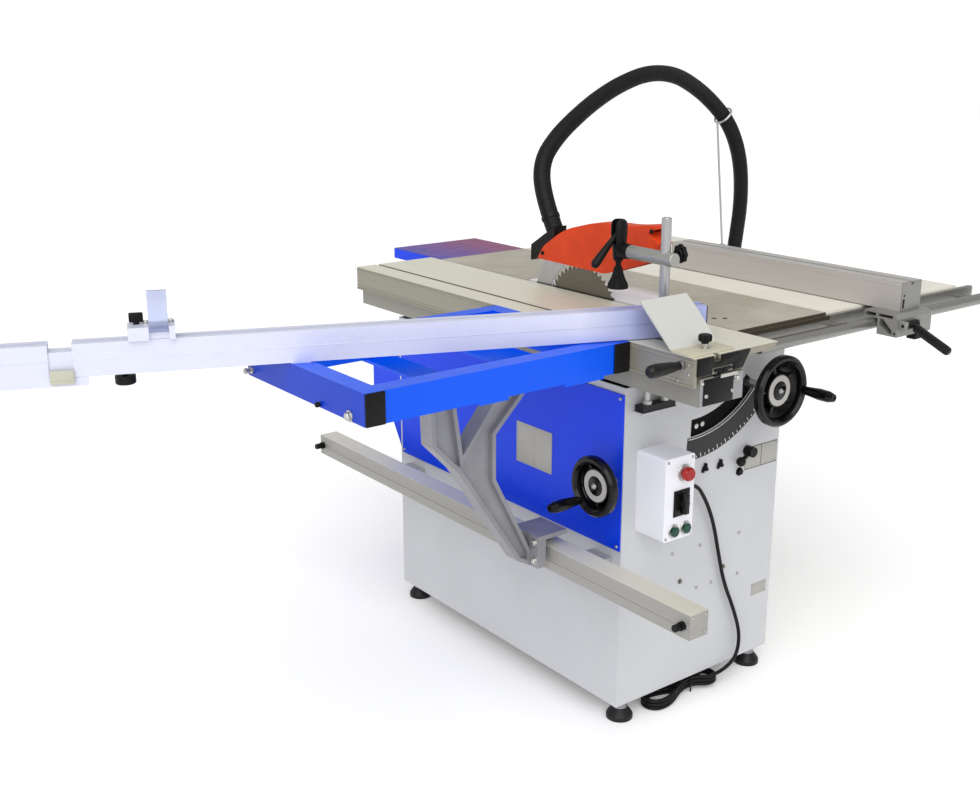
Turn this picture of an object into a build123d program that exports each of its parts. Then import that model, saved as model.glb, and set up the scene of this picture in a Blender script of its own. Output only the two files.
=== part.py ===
from build123d import *
import os
from math import acos, cos, degrees, pi, radians, sin, sqrt, tan

# Sliding-table panel saw. Millimetres, +Z up, +X to the operator's right, +Y away from the operator.
# The origin is the floor point under the line where the sliding table meets the main table.

# Clearances
RUN = 0.05            # radial running fit of a shaft or pin in its hole
GAP = 0.5             # sliding gap between two profiles
FREE = 1.0            # free gap between neighbours that never touch

# Cast table
TABLE_TOP = 895.0
TABLE_THICK = 22.0
TABLE_LEFT = 2.0
TABLE_RIGHT = 287.0
TABLE_FRONT = -490.0
TABLE_BACK = 557.0
POCKET_WIDTH = 60.0
POCKET_FRONT = -205.0
POCKET_BACK = 195.0
POCKET_LEDGE = 6.0
INSERT_THICK = 6.0
INSERT_LEFT = 11.0

# Extension wing and rear extension
WING_WIDTH = 492.0
WING_SKIN = 7.0
WING_RIM = 10.0
REAR_LENGTH = 233.0
REAR_DEPTH = 28.0
REAR_SHEET = 3.0

# Cabinet
CAB_LEFT = -197.0
CAB_RIGHT = 298.0
CAB_FRONT = -376.0
CAB_BACK = 468.0
CAB_BOTTOM = 45.0
CAB_STEP_TOP = 780.0
CAB_STEP_X = -88.0
SHEET = 3.0
TOP_FLANGE = 28.0
TOP_FLANGE_THICK = 4.0
FOOT_PAD = 90.0
FOOT_PAD_THICK = 6.0
DUCT_WIDTH = 230.0
DUCT_X = -25.0
DUCT_BOTTOM = 480.0
DUCT_TOP = 620.0

# Levelling feet
FOOT_R = 30.0
FOOT_STUD_R = 8.0
FOOT_NUT_R = 14.0
FOOT_NUT_HEIGHT = 8.0
FOOT_INSET_X = 36.0
FOOT_INSET_Y = 26.0

# Side cover and rear hood
COVER_THICK = 3.0
COVER_BOTTOM = 418.0
COVER_TOP = 765.0
COVER_FRONT = -374.0
COVER_BACK = 458.0
HOOD_RIGHT = 120.0
HOOD_TOP = 639.0
HOOD_HEIGHT = 209.0
HOOD_DEPTH = 130.0
HOOD_LIP_RISE = 139.0
HOOD_KNEE_DEPTH = 68.0
HOOD_KNEE_RISE = 111.0
HOOD_WALL = 2.5
PORT_BACK = 72.0
PORT_DROP = 42.0
PORT_LENGTH = 45.0
PORT_WALL = 2.5

# Blade and its tilt
BLADE_X = 6.0
BLADE_Y = -10.0
BLADE_Z = 836.0
BLADE_R = 125.0
BLADE_THICK = 2.8
BLADE_TEETH = 48
BLADE_GULLET = 9.0
ARBOR_R = 12.7
ARBOR_THREAD_R = 10.0
FLANGE_R = 28.0
FLANGE_THICK = 6.0
NUT_R = 14.0
NUT_LENGTH = 11.0

# Arc slot, shaft place and scale, all about the tilt axis
SHAFT_ARC_R = 240.0
SHAFT_ANGLE = 46.5
TILT_RANGE = 45.0
SLOT_WIDTH = 40.0
SCALE_START = -3.0
SCALE_GAP = 2.0
SCALE_WIDTH = 51.0
SCALE_THICK = 2.5
SCALE_END = 50.0

# Trunnions and cradle
RIB_R = 180.0
RIB_WIDTH = 23.4
TRACK_WALL = 12.0
TRACK_DEPTH = 8.0
TRACK_BASE = 4.0
TRACK_GAP = 0.3
TRACK_LEFT = -49.0
TRACK_RIGHT = 60.0
RIB_LEFT = -4.0
RIB_RIGHT = 58.0
PLATE_THICK = 14.0
PLATE_INNER_R = 160.0
PLATE_STEP_R = 215.0
GEAR_R = 306.0
GEAR_LEFT = 7.0
GEAR_RIGHT = 60.0
DECK_LEFT = 35.0
DECK_BOTTOM = 604.0
DECK_THICK = 16.0
COLUMN_R = 15.0
COLUMN_X = 60.0
COLUMN_Y = 150.0
COLUMN_TOP = 860.0
BRACKET_Y = -135.0
BRACKET_THICK = 10.0

# Arbor housing and motor
HOUSING_LEFT = 40.0
HOUSING_RIGHT = 75.0
HOUSING_BOTTOM = 812.0
HOUSING_TOP = 850.0
COLUMN_BOSS_R = 24.0
COLUMN_BOSS_LENGTH = 52.0
ARBOR_BOSS_R = 26.0
PULLEY_WIDTH = 16.0
PULLEY_GAP = 3.0
ARBOR_PULLEY_R = 26.0
MOTOR_PULLEY_R = 36.0
BELT_THICK = 6.0
BELT_WIDTH = 12.0
MOTOR_Z = 690.0
MOTOR_R = 72.0
MOTOR_LENGTH = 155.0
MOTOR_SHAFT_R = 12.0
MOTOR_SHAFT_DEPTH = 44.0
MOTOR_PLATE = 10.0
MOTOR_FINS = 18
MOTOR_FIN_HEIGHT = 6.0
MOTOR_FIN_THICK = 4.0
MOTOR_FLANGE = 18.0
MOTOR_COWL = 40.0
ARM_WIDTH = 22.0
RACK_WIDTH = 16.0
RACK_FRONT = -112.0
RACK_BOTTOM = 650.0
RACK_TOP = 800.0

# Riving knife and guard
KNIFE_THICK = 2.5
KNIFE_GAP = 5.0
KNIFE_WIDTH = 38.0
KNIFE_BOTTOM = 800.0
KNIFE_SHOULDER = 946.0
KNIFE_TOP = 978.0
GUARD_WIDTH = 44.0
GUARD_SIDE = 3.0
GUARD_CROWN = 4.0
GUARD_BOLT_R = 6.0
GUARD_BOLT_Y = 105.0
GUARD_BOLT_Z = 966.0
GUARD_OUTLINE = [(137, 959), (115, 989), (55, 1033), (-61, 1068), (-247, 1084), (-264, 1047), (-101, 956)]
SPOUT_WIDTH = 38.0
SPOUT_BACK = 160.0
SPOUT_DROP = 8.0
SPOUT_Y = 95.0
SPOUT_LEAN = 31.0
SPIGOT_LENGTH = 51.0
SPIGOT_DEPTH = 15.0

# Height and tilt shafts with their hand wheels
SHAFT_R = 9.0
PINION_R = 6.3
HEIGHT_WHEEL_R = 80.0
TILT_WHEEL_R = 65.5
WHEEL_HUB_R = 20.0
WHEEL_HUB_BACK = 6.0
WHEEL_DIAL_R = 37.0
WHEEL_DEPTH = 34.0
WHEEL_WEB = 20.0
WHEEL_RIM_BACK = 27.0
WHEEL_RIM_FRONT = 48.0
WHEEL_RIM_WIDTH = 16.0
WHEEL_RIM_ROUND = 5.0
HEIGHT_WHEEL_FRONT = -464.0
TILT_WHEEL_LEFT = -254.0
GRIP_R = 13.0
GRIP_NECK_R = 8.5
GRIP_LENGTH = 80.0
GRIP_PIN_R = 4.0
GRIP_INSET = 13.0
HEIGHT_GRIP_ANGLE = -6.0
TILT_GRIP_ANGLE = 138.0
TILT_SHAFT_Y = -354.0
TILT_SHAFT_Z = 574.0
WORM_R = 14.5
WORM_LEFT = 28.0
WORM_RIGHT = 70.0
END_BEARING = 12.0
END_SHAFT_R = 7.0

# Control box
BOX_LEFT = -158.0
BOX_RIGHT = -72.0
BOX_FRONT = -460.0
BOX_BOTTOM = 455.0
BOX_TOP = 639.0
BOX_WALL = 3.0
BOX_CORNER = 7.0
ESTOP_X = -104.0
ESTOP_Z = 602.0
ESTOP_R = 15.0
ESTOP_HEAD = 16.0
ESTOP_TRAVEL = 4.0
START_LEFT_X = -128.0
START_RIGHT_X = -93.0
START_Z = 476.0
START_R = 11.0
START_HEAD = 5.0
START_TRAVEL = 3.0
STEM_R = 8.0
STEM_LENGTH = 14.0
SELECTOR_X = -108.0
SELECTOR_Z = 536.0
SELECTOR_R = 10.0
SELECTOR_LENGTH = 14.0
SELECTOR_SHAFT_R = 4.0

# Tilt lock lever
LOCK_X = 187.0
LOCK_Z = 568.0
LOCK_PIN_R = 7.0
LOCK_HUB_R = 12.0
LOCK_HUB_LENGTH = 22.0
LOCK_ARM_R = 5.0
LOCK_BALL_R = 11.0
LOCK_BALL_DX = -36.0
LOCK_BALL_DZ = -16.0

# Sliding table: beam, carriage, lower rail
SLIDE_LENGTH = 1200.0
BEAM_LEFT = -222.0
BEAM_RIGHT = -100.0
BEAM_BOTTOM = 797.0
BEAM_TOP = 853.0
BEAM_WALL = 5.0
GUIDE_X = -161.0
GUIDE_NECK = 30.0
GUIDE_HEAD = 54.0
GUIDE_HEAD_BOTTOM = 862.0
GUIDE_HEAD_TOP = 868.0
CARRIAGE_LEFT = -238.0
CARRIAGE_RIGHT = -2.0
CARRIAGE_BOTTOM = 857.0
CARRIAGE_BOX_RIGHT = -84.0
CARRIAGE_FOOT_RIGHT = -108.0
FLANGE_DEPTH = 14.0
SKIRT_THICK = 8.0
SKIRT_BOTTOM = 837.0
SLOT_X = -176.0
TSLOT_MOUTH = 10.0
TSLOT_HEAD = 20.0
TSLOT_LIP = 8.0
TSLOT_DEPTH = 15.0
SUPPORT_LEFT = -172.0
SUPPORT_RIGHT = -78.0
SUPPORT_DEPTH = 24.0
SUPPORT_GAP = 3.0
SUPPORT_FLANGE_Z = 724.0
SUPPORT_FLANGE = 4.0
SUPPORT_FLANGE_DEPTH = 29.0
SUPPORT_HEIGHT = 14.0
STUD_R = 6.0
STUD_NUT_R = 10.0
STUD_NUT = 8.0
STUD_PITCH = 50.0
RAIL_LEFT = -310.0
RAIL_RIGHT = -260.0
RAIL_BOTTOM = 372.0
RAIL_TOP = 424.0
RAIL_FRONT = -685.0
RAIL_BACK = 697.0
RAIL_WALL = 4.0
RAIL_GROOVE = 10.0
RAIL_BRACKET_LENGTH = 60.0
RAIL_BRACKET_FRONT = -320.0
RAIL_BRACKET_BACK = 390.0
HANDLE_INSET = 30.0
HANDLE_Z = 878.0
HANDLE_R = 13.5
HANDLE_NECK_R = 9.0
HANDLE_LENGTH = 92.0

# Outrigger frame and support strut
TUBE_WIDTH = 40.0
TUBE_HEIGHT = 60.0
TUBE_WALL = 3.0
FRAME_LEFT = -851.0
FRAME_FRONT = -423.0
FRAME_BACK = 5.0
BAR_THICK = 6.0
BAR_LEFT_X = -573.0
BAR_RIGHT_X = -352.0
BAR_LEFT_WIDTH = 66.0
BAR_RIGHT_WIDTH = 100.0
STRUT_LEG_LEFT = [(-598, 700), (-538, 638), (-382, 404)]
STRUT_LEG_RIGHT = [(-442, 602), (-442, 699), (-376, 764)]
STRUT_FORK = [(-443, 772), (-525, 671)]
STRUT_TOP_XS = (-603, -549, -395, -311)
STRUT_FRONT = -258.0
STRUT_THICK = 40.0
STRUT_FOOT = 34.0
STRUT_RIM = 9.0
STRUT_RECESS = 12.0
BRACKET_LENGTH = 87.0
BRACKET_LEFT = -348.0
BRACKET_WALL = 22.0
BRACKET_TOP = 458.0
BRACKET_PLATE = 10.0
BRACKET_RIGHT = -268.0
BRACKET_BOTTOM = 386.0
ROLLER_R = 11.8
ROLLER_LENGTH = 30.0
ROLLER_AXLE_R = 5.0
ROLLER_LIFT = 0.2

# Crosscut fence, drawn square and then turned about its right end
FENCE_ANGLE = 21.9
FENCE_X = -82.3
FENCE_Y = -481.0
FENCE_LENGTH = 1210.0
FENCE_DEPTH = 40.0
FENCE_LIFT = 2.0
FENCE_HEIGHT = 60.0
FENCE_WALL = 3.0
FENCE_SLOT = 8.0
FENCE_SLOT_HEAD = 16.0
FENCE_PIVOT_BACK = 56.0
FENCE_PIVOT_R = 14.0
FENCE_PAD_AT = 811.0
FENCE_PAD_LENGTH = 36.0
PAD_GAP = 0.3
TONGUE_LENGTH = 500.0
TONGUE_HEIGHT = 43.0
EXTENSION_GAP = 41.0
EXTENSION_LENGTH = 420.0
LIP_DEPTH = 6.0
LIP_HEIGHT = 15.0
LIP_OVERLAP = 24.0
STOP_INSET = 137.0
STOP_LENGTH = 82.0
STOP_HEIGHT = 24.0
STOP_SKIN = 2.0
FINGER_LENGTH = 72.0
FINGER_WIDTH = 34.0
FINGER_SHIFT = 13.0
FINGER_THICK = 6.0
FINGER_PIN_R = 3.0
FINGER_PIVOT_LIFT = 17.0

# Edging shoe
SHOE_LEFT = -240.0
SHOE_RIGHT = -124.0
SHOE_INSET = 8.0
SHOE_FOOT = 52.0
SHOE_RUN = 96.0
SHOE_RISE = 90.0
SHOE_THICK = 5.0
SHOE_NOTCH = 28.0

# Hold-down clamp
CLAMP_X = -105.0
CLAMP_Y = -383.0
CLAMP_COLUMN_R = 10.5
CLAMP_COLUMN_TOP = 1122.0
CLAMP_COLUMN_BOTTOM = 866.0
CLAMP_FLANGE_R = 22.0
CLAMP_FLANGE = 6.0
CLAMP_ARM_Z = 1040.0
CLAMP_ARM_R = 14.0
CLAMP_ARM_FRONT = -410.0
CLAMP_BOSS_WALL = 3.0
CLAMP_BODY_Y = -245.0
CLAMP_BODY_R = 17.0
CLAMP_BODY_BOTTOM = 1015.0
CLAMP_BODY_TOP = 1106.0
CLAMP_STEM_R = 6.0
CLAMP_STEM_TOP = 1042.0
CLAMP_LIFT = 8.0
CLAMP_FOOT_R = 22.0
CLAMP_FOOT_BOTTOM = 958.0
CLAMP_FOOT_HEIGHT = 46.0
LEVER_PIN_R = 4.0
LEVER_PIVOT_DROP = 24.0
LEVER_LENGTH = 100.0
LEVER_R = 6.5
LEVER_SLOPE = 45.0
LEVER_HUB_R = 11.0
LEVER_HUB = 12.0

# Rip fence and its rail
ROD_R = 13.0
ROD_WALL = 2.5
ROD_Y = -545.0
ROD_Z = 869.0
ROD_LEFT = 6.0
ROD_RIGHT = 870.0
FLAT_RIGHT = 832.0
FLAT_LEFT = 6.0
FLAT_THICK = 12.0
FLAT_BOTTOM = 850.0
FLAT_HEIGHT = 40.0
RAIL_STUD_R = 6.0
RAIL_STUDS = 4
RAIL_STUD_INSET = 45.0
RIP_LEFT = 412.0
RIP_WIDTH = 68.0
RIP_HEIGHT = 64.0
RIP_FRONT = -590.0
RIP_BACK = 100.0
RIP_WALL = 3.0
RIP_SLOT = 10.0
CARRIER_LEFT = 375.0
CARRIER_WIDTH = 124.0
CARRIER_FRONT = -612.0
CARRIER_BACK = -526.0
CARRIER_BOTTOM = 848.0
CARRIER_TOP = 897.0
CARRIER_GAP = 3.0
CARRIER_CHAMFER = 9.0
RIP_LEVER_X = 408.0
RIP_LEVER_Z = 875.0
RIP_LEVER_R = 9.0
RIP_LEVER_LENGTH = 92.0
RIP_LEVER_DROP = 40.0
RIP_LEVER_HUB_R = 10.0
RIP_LEVER_HUB = 40.0
RIP_LEVER_PIN_R = 4.0
RIP_EAR = 10.0

# Dust hose and its stand
HOSE_R = 21.0
HOSE_GROOVE = 2.0
HOSE_BORE_R = 17.5
HOSE_RIBS = 165
HOSE_START = 92.0
HOSE_LAST = 113.0
HOSE_PORT_GAP = 5.0
HOSE_SEAT = 1032.0
STAND_X = 788.0
STAND_Y = 270.0
STAND_ROD_R = 3.0
STAND_RING_R = 26.0
STAND_BLOCK = 16.0
STAND_AT = 0.424

# Mains cable
CABLE_R = 4.3
GLAND_Y = -400.0
GLAND_Z = 540.0
GLAND_LENGTH = 22.0
GLAND_LEAD = 46.0
GLAND_R = 11.0
HANK_LOOPS = 3
HANK_X = 45.0
HANK_Y = -362.0
HANK_RIGHT_RUN = 52.0
HANK_LEFT_RUN = 108.0
HANK_TURN_R = 27.0
HANK_WAIST = 5.2
HANK_STEP = 9.3
HANK_FLOOR_GAP = 0.3
HANK_LEAD = 36.0
TAIL_TURN_R = 45.0
TAIL_RUN = 60.0
PLUG_R = 17.0
PLUG_LENGTH = 46.0
PLUG_PIN_R = 2.4
PLUG_PIN_LENGTH = 19.0
PLUG_PIN_PITCH = 9.5

# Places worked out from the sizes above
TILT_X = BLADE_X
CAB_TOP = TABLE_TOP - TABLE_THICK
WING_LEFT = TABLE_RIGHT + FREE
WING_RIGHT = WING_LEFT + WING_WIDTH
BLADE_LEFT_FACE = BLADE_X - BLADE_THICK / 2
BLADE_RIGHT_FACE = BLADE_X + BLADE_THICK / 2
KNIFE_R = BLADE_R + KNIFE_GAP
KNIFE_BACK = BLADE_Y + KNIFE_R + KNIFE_WIDTH
SHAFT_X = TILT_X + SHAFT_ARC_R * sin(radians(SHAFT_ANGLE))
SHAFT_Z = TABLE_TOP - SHAFT_ARC_R * cos(radians(SHAFT_ANGLE))
PULLEY_LEFT = HOUSING_RIGHT + PULLEY_GAP
PULLEY_RIGHT = PULLEY_LEFT + PULLEY_WIDTH
DECK_RIGHT = PULLEY_LEFT - 2 * FREE
MOTOR_PLATE_LEFT = PULLEY_RIGHT + PULLEY_GAP
MOTOR_LEFT = MOTOR_PLATE_LEFT + MOTOR_PLATE
GRIP_START = WHEEL_RIM_FRONT + FREE
SLIDE_FRONT = -SLIDE_LENGTH / 2
SLIDE_BACK = SLIDE_LENGTH / 2
SHOE_FRONT = SLIDE_FRONT + SHOE_INSET
SHOE_BEND = SHOE_FRONT + SHOE_FOOT
SHOE_BACK = SHOE_BEND + SHOE_RUN
FENCE_BOTTOM = TABLE_TOP + FENCE_LIFT
FENCE_TOP = FENCE_BOTTOM + FENCE_HEIGHT
STOP_X = STOP_INSET - FENCE_LENGTH
FINGER_X = STOP_X + FINGER_SHIFT
TUBE_TOP = TABLE_TOP
TUBE_BOTTOM = TUBE_TOP - TUBE_HEIGHT
BAR_BOTTOM = TUBE_BOTTOM - BAR_THICK
FRAME_RIGHT = CARRIAGE_LEFT
SPIGOT_R = HOSE_BORE_R - GAP
SPOUT_AXIS = Vector(0, sin(radians(SPOUT_LEAN)), cos(radians(SPOUT_LEAN)))
PORT_Y = CAB_BACK + PORT_BACK
PORT_Z = HOOD_TOP - PORT_DROP


def block(x0, x1, y0, y1, z0, z1):
    size = Box(x1 - x0, y1 - y0, z1 - z0)
    return Pos((x0 + x1) / 2, (y0 + y1) / 2, (z0 + z1) / 2) * size


def rod_x(x0, x1, y, z, r):
    return Pos((x0 + x1) / 2, y, z) * Rot(0, 90, 0) * Cylinder(r, x1 - x0)


def rod_y(y0, y1, x, z, r):
    return Pos(x, (y0 + y1) / 2, z) * Rot(90, 0, 0) * Cylinder(r, y1 - y0)


def rod_z(z0, z1, x, y, r):
    return Pos(x, y, (z0 + z1) / 2) * Cylinder(r, z1 - z0)


def rod_between(start, end, r):
    """A straight round bar between two points."""
    path = end - start
    place = Plane(origin=start + path * 0.5, z_dir=path)
    return place * Cylinder(r, path.length)


def ball_lever(start, end, r, ball_r):
    """A round bar from one point to a ball round another, turned in one piece."""
    reach = (end - start).length
    seam = reach - sqrt(max(ball_r ** 2 - r ** 2, 0))
    lines = [Vector(0, 0, 0), Vector(r, 0, 0), Vector(r, 0, seam)]
    tip = Vector(0, 0, reach + ball_r)
    edges = [Edge.make_line(a, b) for a, b in zip(lines, lines[1:])]
    side = ball_r * cos(pi / 8)
    edges.append(Edge.make_three_point_arc(lines[-1], Vector(side, 0, reach + ball_r * sin(pi / 8)), tip))
    edges.append(Edge.make_line(tip, lines[0]))
    return Plane(origin=start, z_dir=end - start) * revolve(Face(Wire(edges)), axis=Axis.Z)


def prism_x(points, x0, x1):
    """A prism along X over an outline of (y, z) points."""
    wire = Wire.make_polygon([Vector(x0, y, z) for y, z in points])
    return extrude(Face(wire), amount=x1 - x0, dir=(1, 0, 0))


def prism_y(points, y0, y1):
    """A prism along Y over an outline of (x, z) points."""
    wire = Wire.make_polygon([Vector(x, y0, z) for x, z in points])
    return extrude(Face(wire), amount=y1 - y0, dir=(0, 1, 0))


def prism_z(points, z0, z1):
    """A prism along Z over an outline of (x, y) points."""
    wire = Wire.make_polygon([Vector(x, y, z0) for x, y in points])
    return extrude(Face(wire), amount=z1 - z0, dir=(0, 0, 1))


def turned(points):
    """A turned piece about Z from an outline of (radius, height) points."""
    wire = Wire.make_polygon([Vector(r, 0, h) for r, h in points])
    return revolve(Face(wire), axis=Axis.Z)


def on_arc(r, angle, y):
    """A point at an angle about the tilt axis, counted from straight down towards +X."""
    a = radians(angle)
    return Vector(TILT_X + r * sin(a), y, TABLE_TOP - r * cos(a))


def sector(r0, r1, a0, a1, y0, y1):
    """A plate between two radii and two angles about the tilt axis."""
    middle = (a0 + a1) / 2
    outer = Edge.make_three_point_arc(on_arc(r1, a0, y0), on_arc(r1, middle, y0), on_arc(r1, a1, y0))
    inner = Edge.make_three_point_arc(on_arc(r0, a1, y0), on_arc(r0, middle, y0), on_arc(r0, a0, y0))
    side = Edge.make_line(on_arc(r1, a1, y0), on_arc(r0, a1, y0))
    other = Edge.make_line(on_arc(r0, a0, y0), on_arc(r1, a0, y0))
    return extrude(Face(Wire([outer, side, inner, other])), amount=y1 - y0, dir=(0, 1, 0))


def foot_places():
    xs = (CAB_LEFT + FOOT_INSET_X, CAB_RIGHT - FOOT_INSET_X)
    ys = (CAB_FRONT + FOOT_INSET_Y, CAB_BACK - FOOT_INSET_Y)
    return [(x, y) for x in xs for y in ys]


# Cabinet and what is fixed to it

def make_cabinet():
    outline = [(CAB_LEFT, CAB_BOTTOM), (CAB_RIGHT, CAB_BOTTOM), (CAB_RIGHT, CAB_TOP), (CAB_STEP_X, CAB_TOP),
               (CAB_STEP_X, CAB_STEP_TOP), (CAB_LEFT, CAB_STEP_TOP)]
    inside = block(CAB_LEFT + SHEET, CAB_RIGHT - SHEET, CAB_FRONT + SHEET, CAB_BACK - SHEET,
                   CAB_BOTTOM - FREE, CAB_TOP + FREE)
    body = prism_y(outline, CAB_FRONT, CAB_BACK) - inside
    for y0, y1 in ((CAB_FRONT, CAB_FRONT + TOP_FLANGE), (CAB_BACK - TOP_FLANGE, CAB_BACK)):
        body += block(CAB_STEP_X, CAB_RIGHT, y0, y1, CAB_TOP - TOP_FLANGE_THICK, CAB_TOP)
    body += block(CAB_RIGHT - TOP_FLANGE, CAB_RIGHT, CAB_FRONT, CAB_BACK, CAB_TOP - TOP_FLANGE_THICK, CAB_TOP)
    for x0 in (CAB_LEFT, CAB_RIGHT - FOOT_PAD):
        for y0 in (CAB_FRONT, CAB_BACK - FOOT_PAD):
            body += block(x0, x0 + FOOT_PAD, y0, y0 + FOOT_PAD, CAB_BOTTOM, CAB_BOTTOM + FOOT_PAD_THICK)
    for x, y in foot_places():
        body -= rod_z(CAB_BOTTOM - FREE, CAB_BOTTOM + FOOT_PAD_THICK + FREE, x, y, FOOT_STUD_R + RUN)
    slot_r0 = SHAFT_ARC_R - SLOT_WIDTH / 2
    slot_r1 = SHAFT_ARC_R + SLOT_WIDTH / 2
    spare = degrees((SHAFT_R + 2 * FREE) / SHAFT_ARC_R)
    wall0 = CAB_FRONT - FREE
    wall1 = CAB_FRONT + SHEET + FREE
    body -= sector(slot_r0, slot_r1, SHAFT_ANGLE - TILT_RANGE - spare, SHAFT_ANGLE + spare, wall0, wall1)
    body -= rod_y(wall0, wall1, LOCK_X, LOCK_Z, LOCK_PIN_R + RUN)
    body -= rod_x(CAB_LEFT - FREE, CAB_LEFT + SHEET + FREE, TILT_SHAFT_Y, TILT_SHAFT_Z, SHAFT_R + RUN)
    bearing = block(WORM_RIGHT + FREE, WORM_RIGHT + FREE + END_BEARING, CAB_FRONT + SHEET,
                    TILT_SHAFT_Y + END_BEARING, TILT_SHAFT_Z - END_BEARING, TILT_SHAFT_Z + END_BEARING)
    body += bearing
    bearing_end = WORM_RIGHT + 2 * FREE + END_BEARING
    body -= rod_x(WORM_RIGHT, bearing_end, TILT_SHAFT_Y, TILT_SHAFT_Z, END_SHAFT_R + RUN)
    for y0, y1 in ((CAB_FRONT - SUPPORT_FLANGE_DEPTH, CAB_FRONT), (CAB_BACK, CAB_BACK + SUPPORT_FLANGE_DEPTH)):
        body += block(SUPPORT_LEFT - SUPPORT_GAP, SUPPORT_RIGHT + SUPPORT_GAP, y0, y1,
                      SUPPORT_FLANGE_Z, SUPPORT_FLANGE_Z + SUPPORT_FLANGE)
    body -= block(DUCT_X - DUCT_WIDTH / 2, DUCT_X + DUCT_WIDTH / 2, CAB_BACK - SHEET - FREE, CAB_BACK + FREE,
                  DUCT_BOTTOM, DUCT_TOP)
    return body


def make_side_cover():
    left = CAB_LEFT - COVER_THICK
    plate = block(left, CAB_LEFT, COVER_FRONT, COVER_BACK, COVER_BOTTOM, COVER_TOP)
    return plate - rod_x(left - FREE, CAB_LEFT + FREE, TILT_SHAFT_Y, TILT_SHAFT_Z, SHAFT_R + FREE)


def make_rear_hood():
    low = HOOD_TOP - HOOD_HEIGHT
    knee_y = CAB_BACK + HOOD_KNEE_DEPTH
    knee_z = low + HOOD_KNEE_RISE
    lip_y = CAB_BACK + HOOD_DEPTH
    lip_z = low + HOOD_LIP_RISE
    outline = [(CAB_BACK, low), (knee_y, knee_z), (lip_y, lip_z), (lip_y, HOOD_TOP), (CAB_BACK, HOOD_TOP)]
    wall = HOOD_WALL
    inner = [(CAB_BACK - FREE, low + 2 * wall), (knee_y - wall, knee_z + wall), (lip_y - wall, lip_z + wall),
             (lip_y - wall, HOOD_TOP - wall), (CAB_BACK - FREE, HOOD_TOP - wall)]
    hood = prism_x(outline, CAB_LEFT, HOOD_RIGHT) - prism_x(inner, CAB_LEFT + wall, HOOD_RIGHT - wall)
    port_end = HOOD_RIGHT + PORT_LENGTH
    hood += rod_x(HOOD_RIGHT - wall, port_end, PORT_Y, PORT_Z, SPIGOT_R)
    return hood - rod_x(HOOD_RIGHT - 2 * wall, port_end + FREE, PORT_Y, PORT_Z, SPIGOT_R - PORT_WALL)


def make_leveling_feet():
    nut_low = CAB_BOTTOM - FOOT_NUT_HEIGHT
    pad_top = CAB_BOTTOM + FOOT_PAD_THICK
    nut_top = pad_top + FOOT_NUT_HEIGHT
    stud_top = pad_top + 2.5 * FOOT_NUT_HEIGHT
    outline = [(0, 0), (FOOT_R, 0), (FOOT_R, 0.3 * FOOT_R), (0.87 * FOOT_R, 0.5 * FOOT_R),
               (0.57 * FOOT_R, 0.9 * FOOT_R), (0.5 * FOOT_R, nut_low), (FOOT_NUT_R, nut_low),
               (FOOT_NUT_R, CAB_BOTTOM), (FOOT_STUD_R, CAB_BOTTOM), (FOOT_STUD_R, pad_top),
               (FOOT_NUT_R, pad_top), (FOOT_NUT_R, nut_top), (FOOT_STUD_R, nut_top), (FOOT_STUD_R, stud_top),
               (0, stud_top)]
    foot = turned(outline)
    return Compound(children=[Pos(x, y, 0) * foot for x, y in foot_places()])


def make_angle_scale():
    r0 = SHAFT_ARC_R + SLOT_WIDTH / 2 + SCALE_GAP
    return sector(r0, r0 + SCALE_WIDTH, SCALE_START, SCALE_END, CAB_FRONT - SCALE_THICK, CAB_FRONT)


def make_control_box():
    outer = block(BOX_LEFT, BOX_RIGHT, BOX_FRONT, CAB_FRONT, BOX_BOTTOM, BOX_TOP)
    outer = fillet(outer.edges().filter_by(Axis.Y), BOX_CORNER)
    w = BOX_WALL
    box = outer - block(BOX_LEFT + w, BOX_RIGHT - w, BOX_FRONT + w, CAB_FRONT - w, BOX_BOTTOM + w, BOX_TOP - w)
    for x, z in ((ESTOP_X, ESTOP_Z), (START_LEFT_X, START_Z), (START_RIGHT_X, START_Z)):
        box -= rod_y(BOX_FRONT - FREE, BOX_FRONT + w + FREE, x, z, STEM_R + RUN)
    return box - rod_y(BOX_FRONT - FREE, BOX_FRONT + w + FREE, SELECTOR_X, SELECTOR_Z, SELECTOR_SHAFT_R + RUN)


def push_button(x, z, head_r, head, travel):
    """A button with a domed head in front of the box and a stem through its front wall."""
    back = BOX_FRONT - travel - FREE
    outline = [(0, -STEM_LENGTH), (STEM_R, -STEM_LENGTH), (STEM_R, 0), (head_r - 2, 0), (head_r, head * 0.3),
               (head_r, head * 0.75), (head_r - 2.5, head), (0, head)]
    return Pos(x, back, z) * Rot(90, 0, 0) * turned(outline)


def make_selector_knob():
    front = BOX_FRONT - 2 * FREE
    knob = rod_y(front - SELECTOR_LENGTH, front, SELECTOR_X, SELECTOR_Z, SELECTOR_R)
    return knob + rod_y(front, BOX_FRONT + STEM_LENGTH, SELECTOR_X, SELECTOR_Z, SELECTOR_SHAFT_R)


def make_tilt_lock_lever():
    back = CAB_FRONT - FREE
    hub = rod_y(back - LOCK_HUB_LENGTH, back, LOCK_X, LOCK_Z, LOCK_HUB_R)
    hub += rod_y(back, CAB_FRONT + 3 * SHEET, LOCK_X, LOCK_Z, LOCK_PIN_R)
    middle = back - LOCK_HUB_LENGTH / 2
    ball = Vector(LOCK_X + LOCK_BALL_DX, middle - LOCK_BALL_R / 2, LOCK_Z + LOCK_BALL_DZ)
    return hub + ball_lever(Vector(LOCK_X, middle, LOCK_Z), ball, LOCK_ARM_R, LOCK_BALL_R)


# Tables

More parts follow.
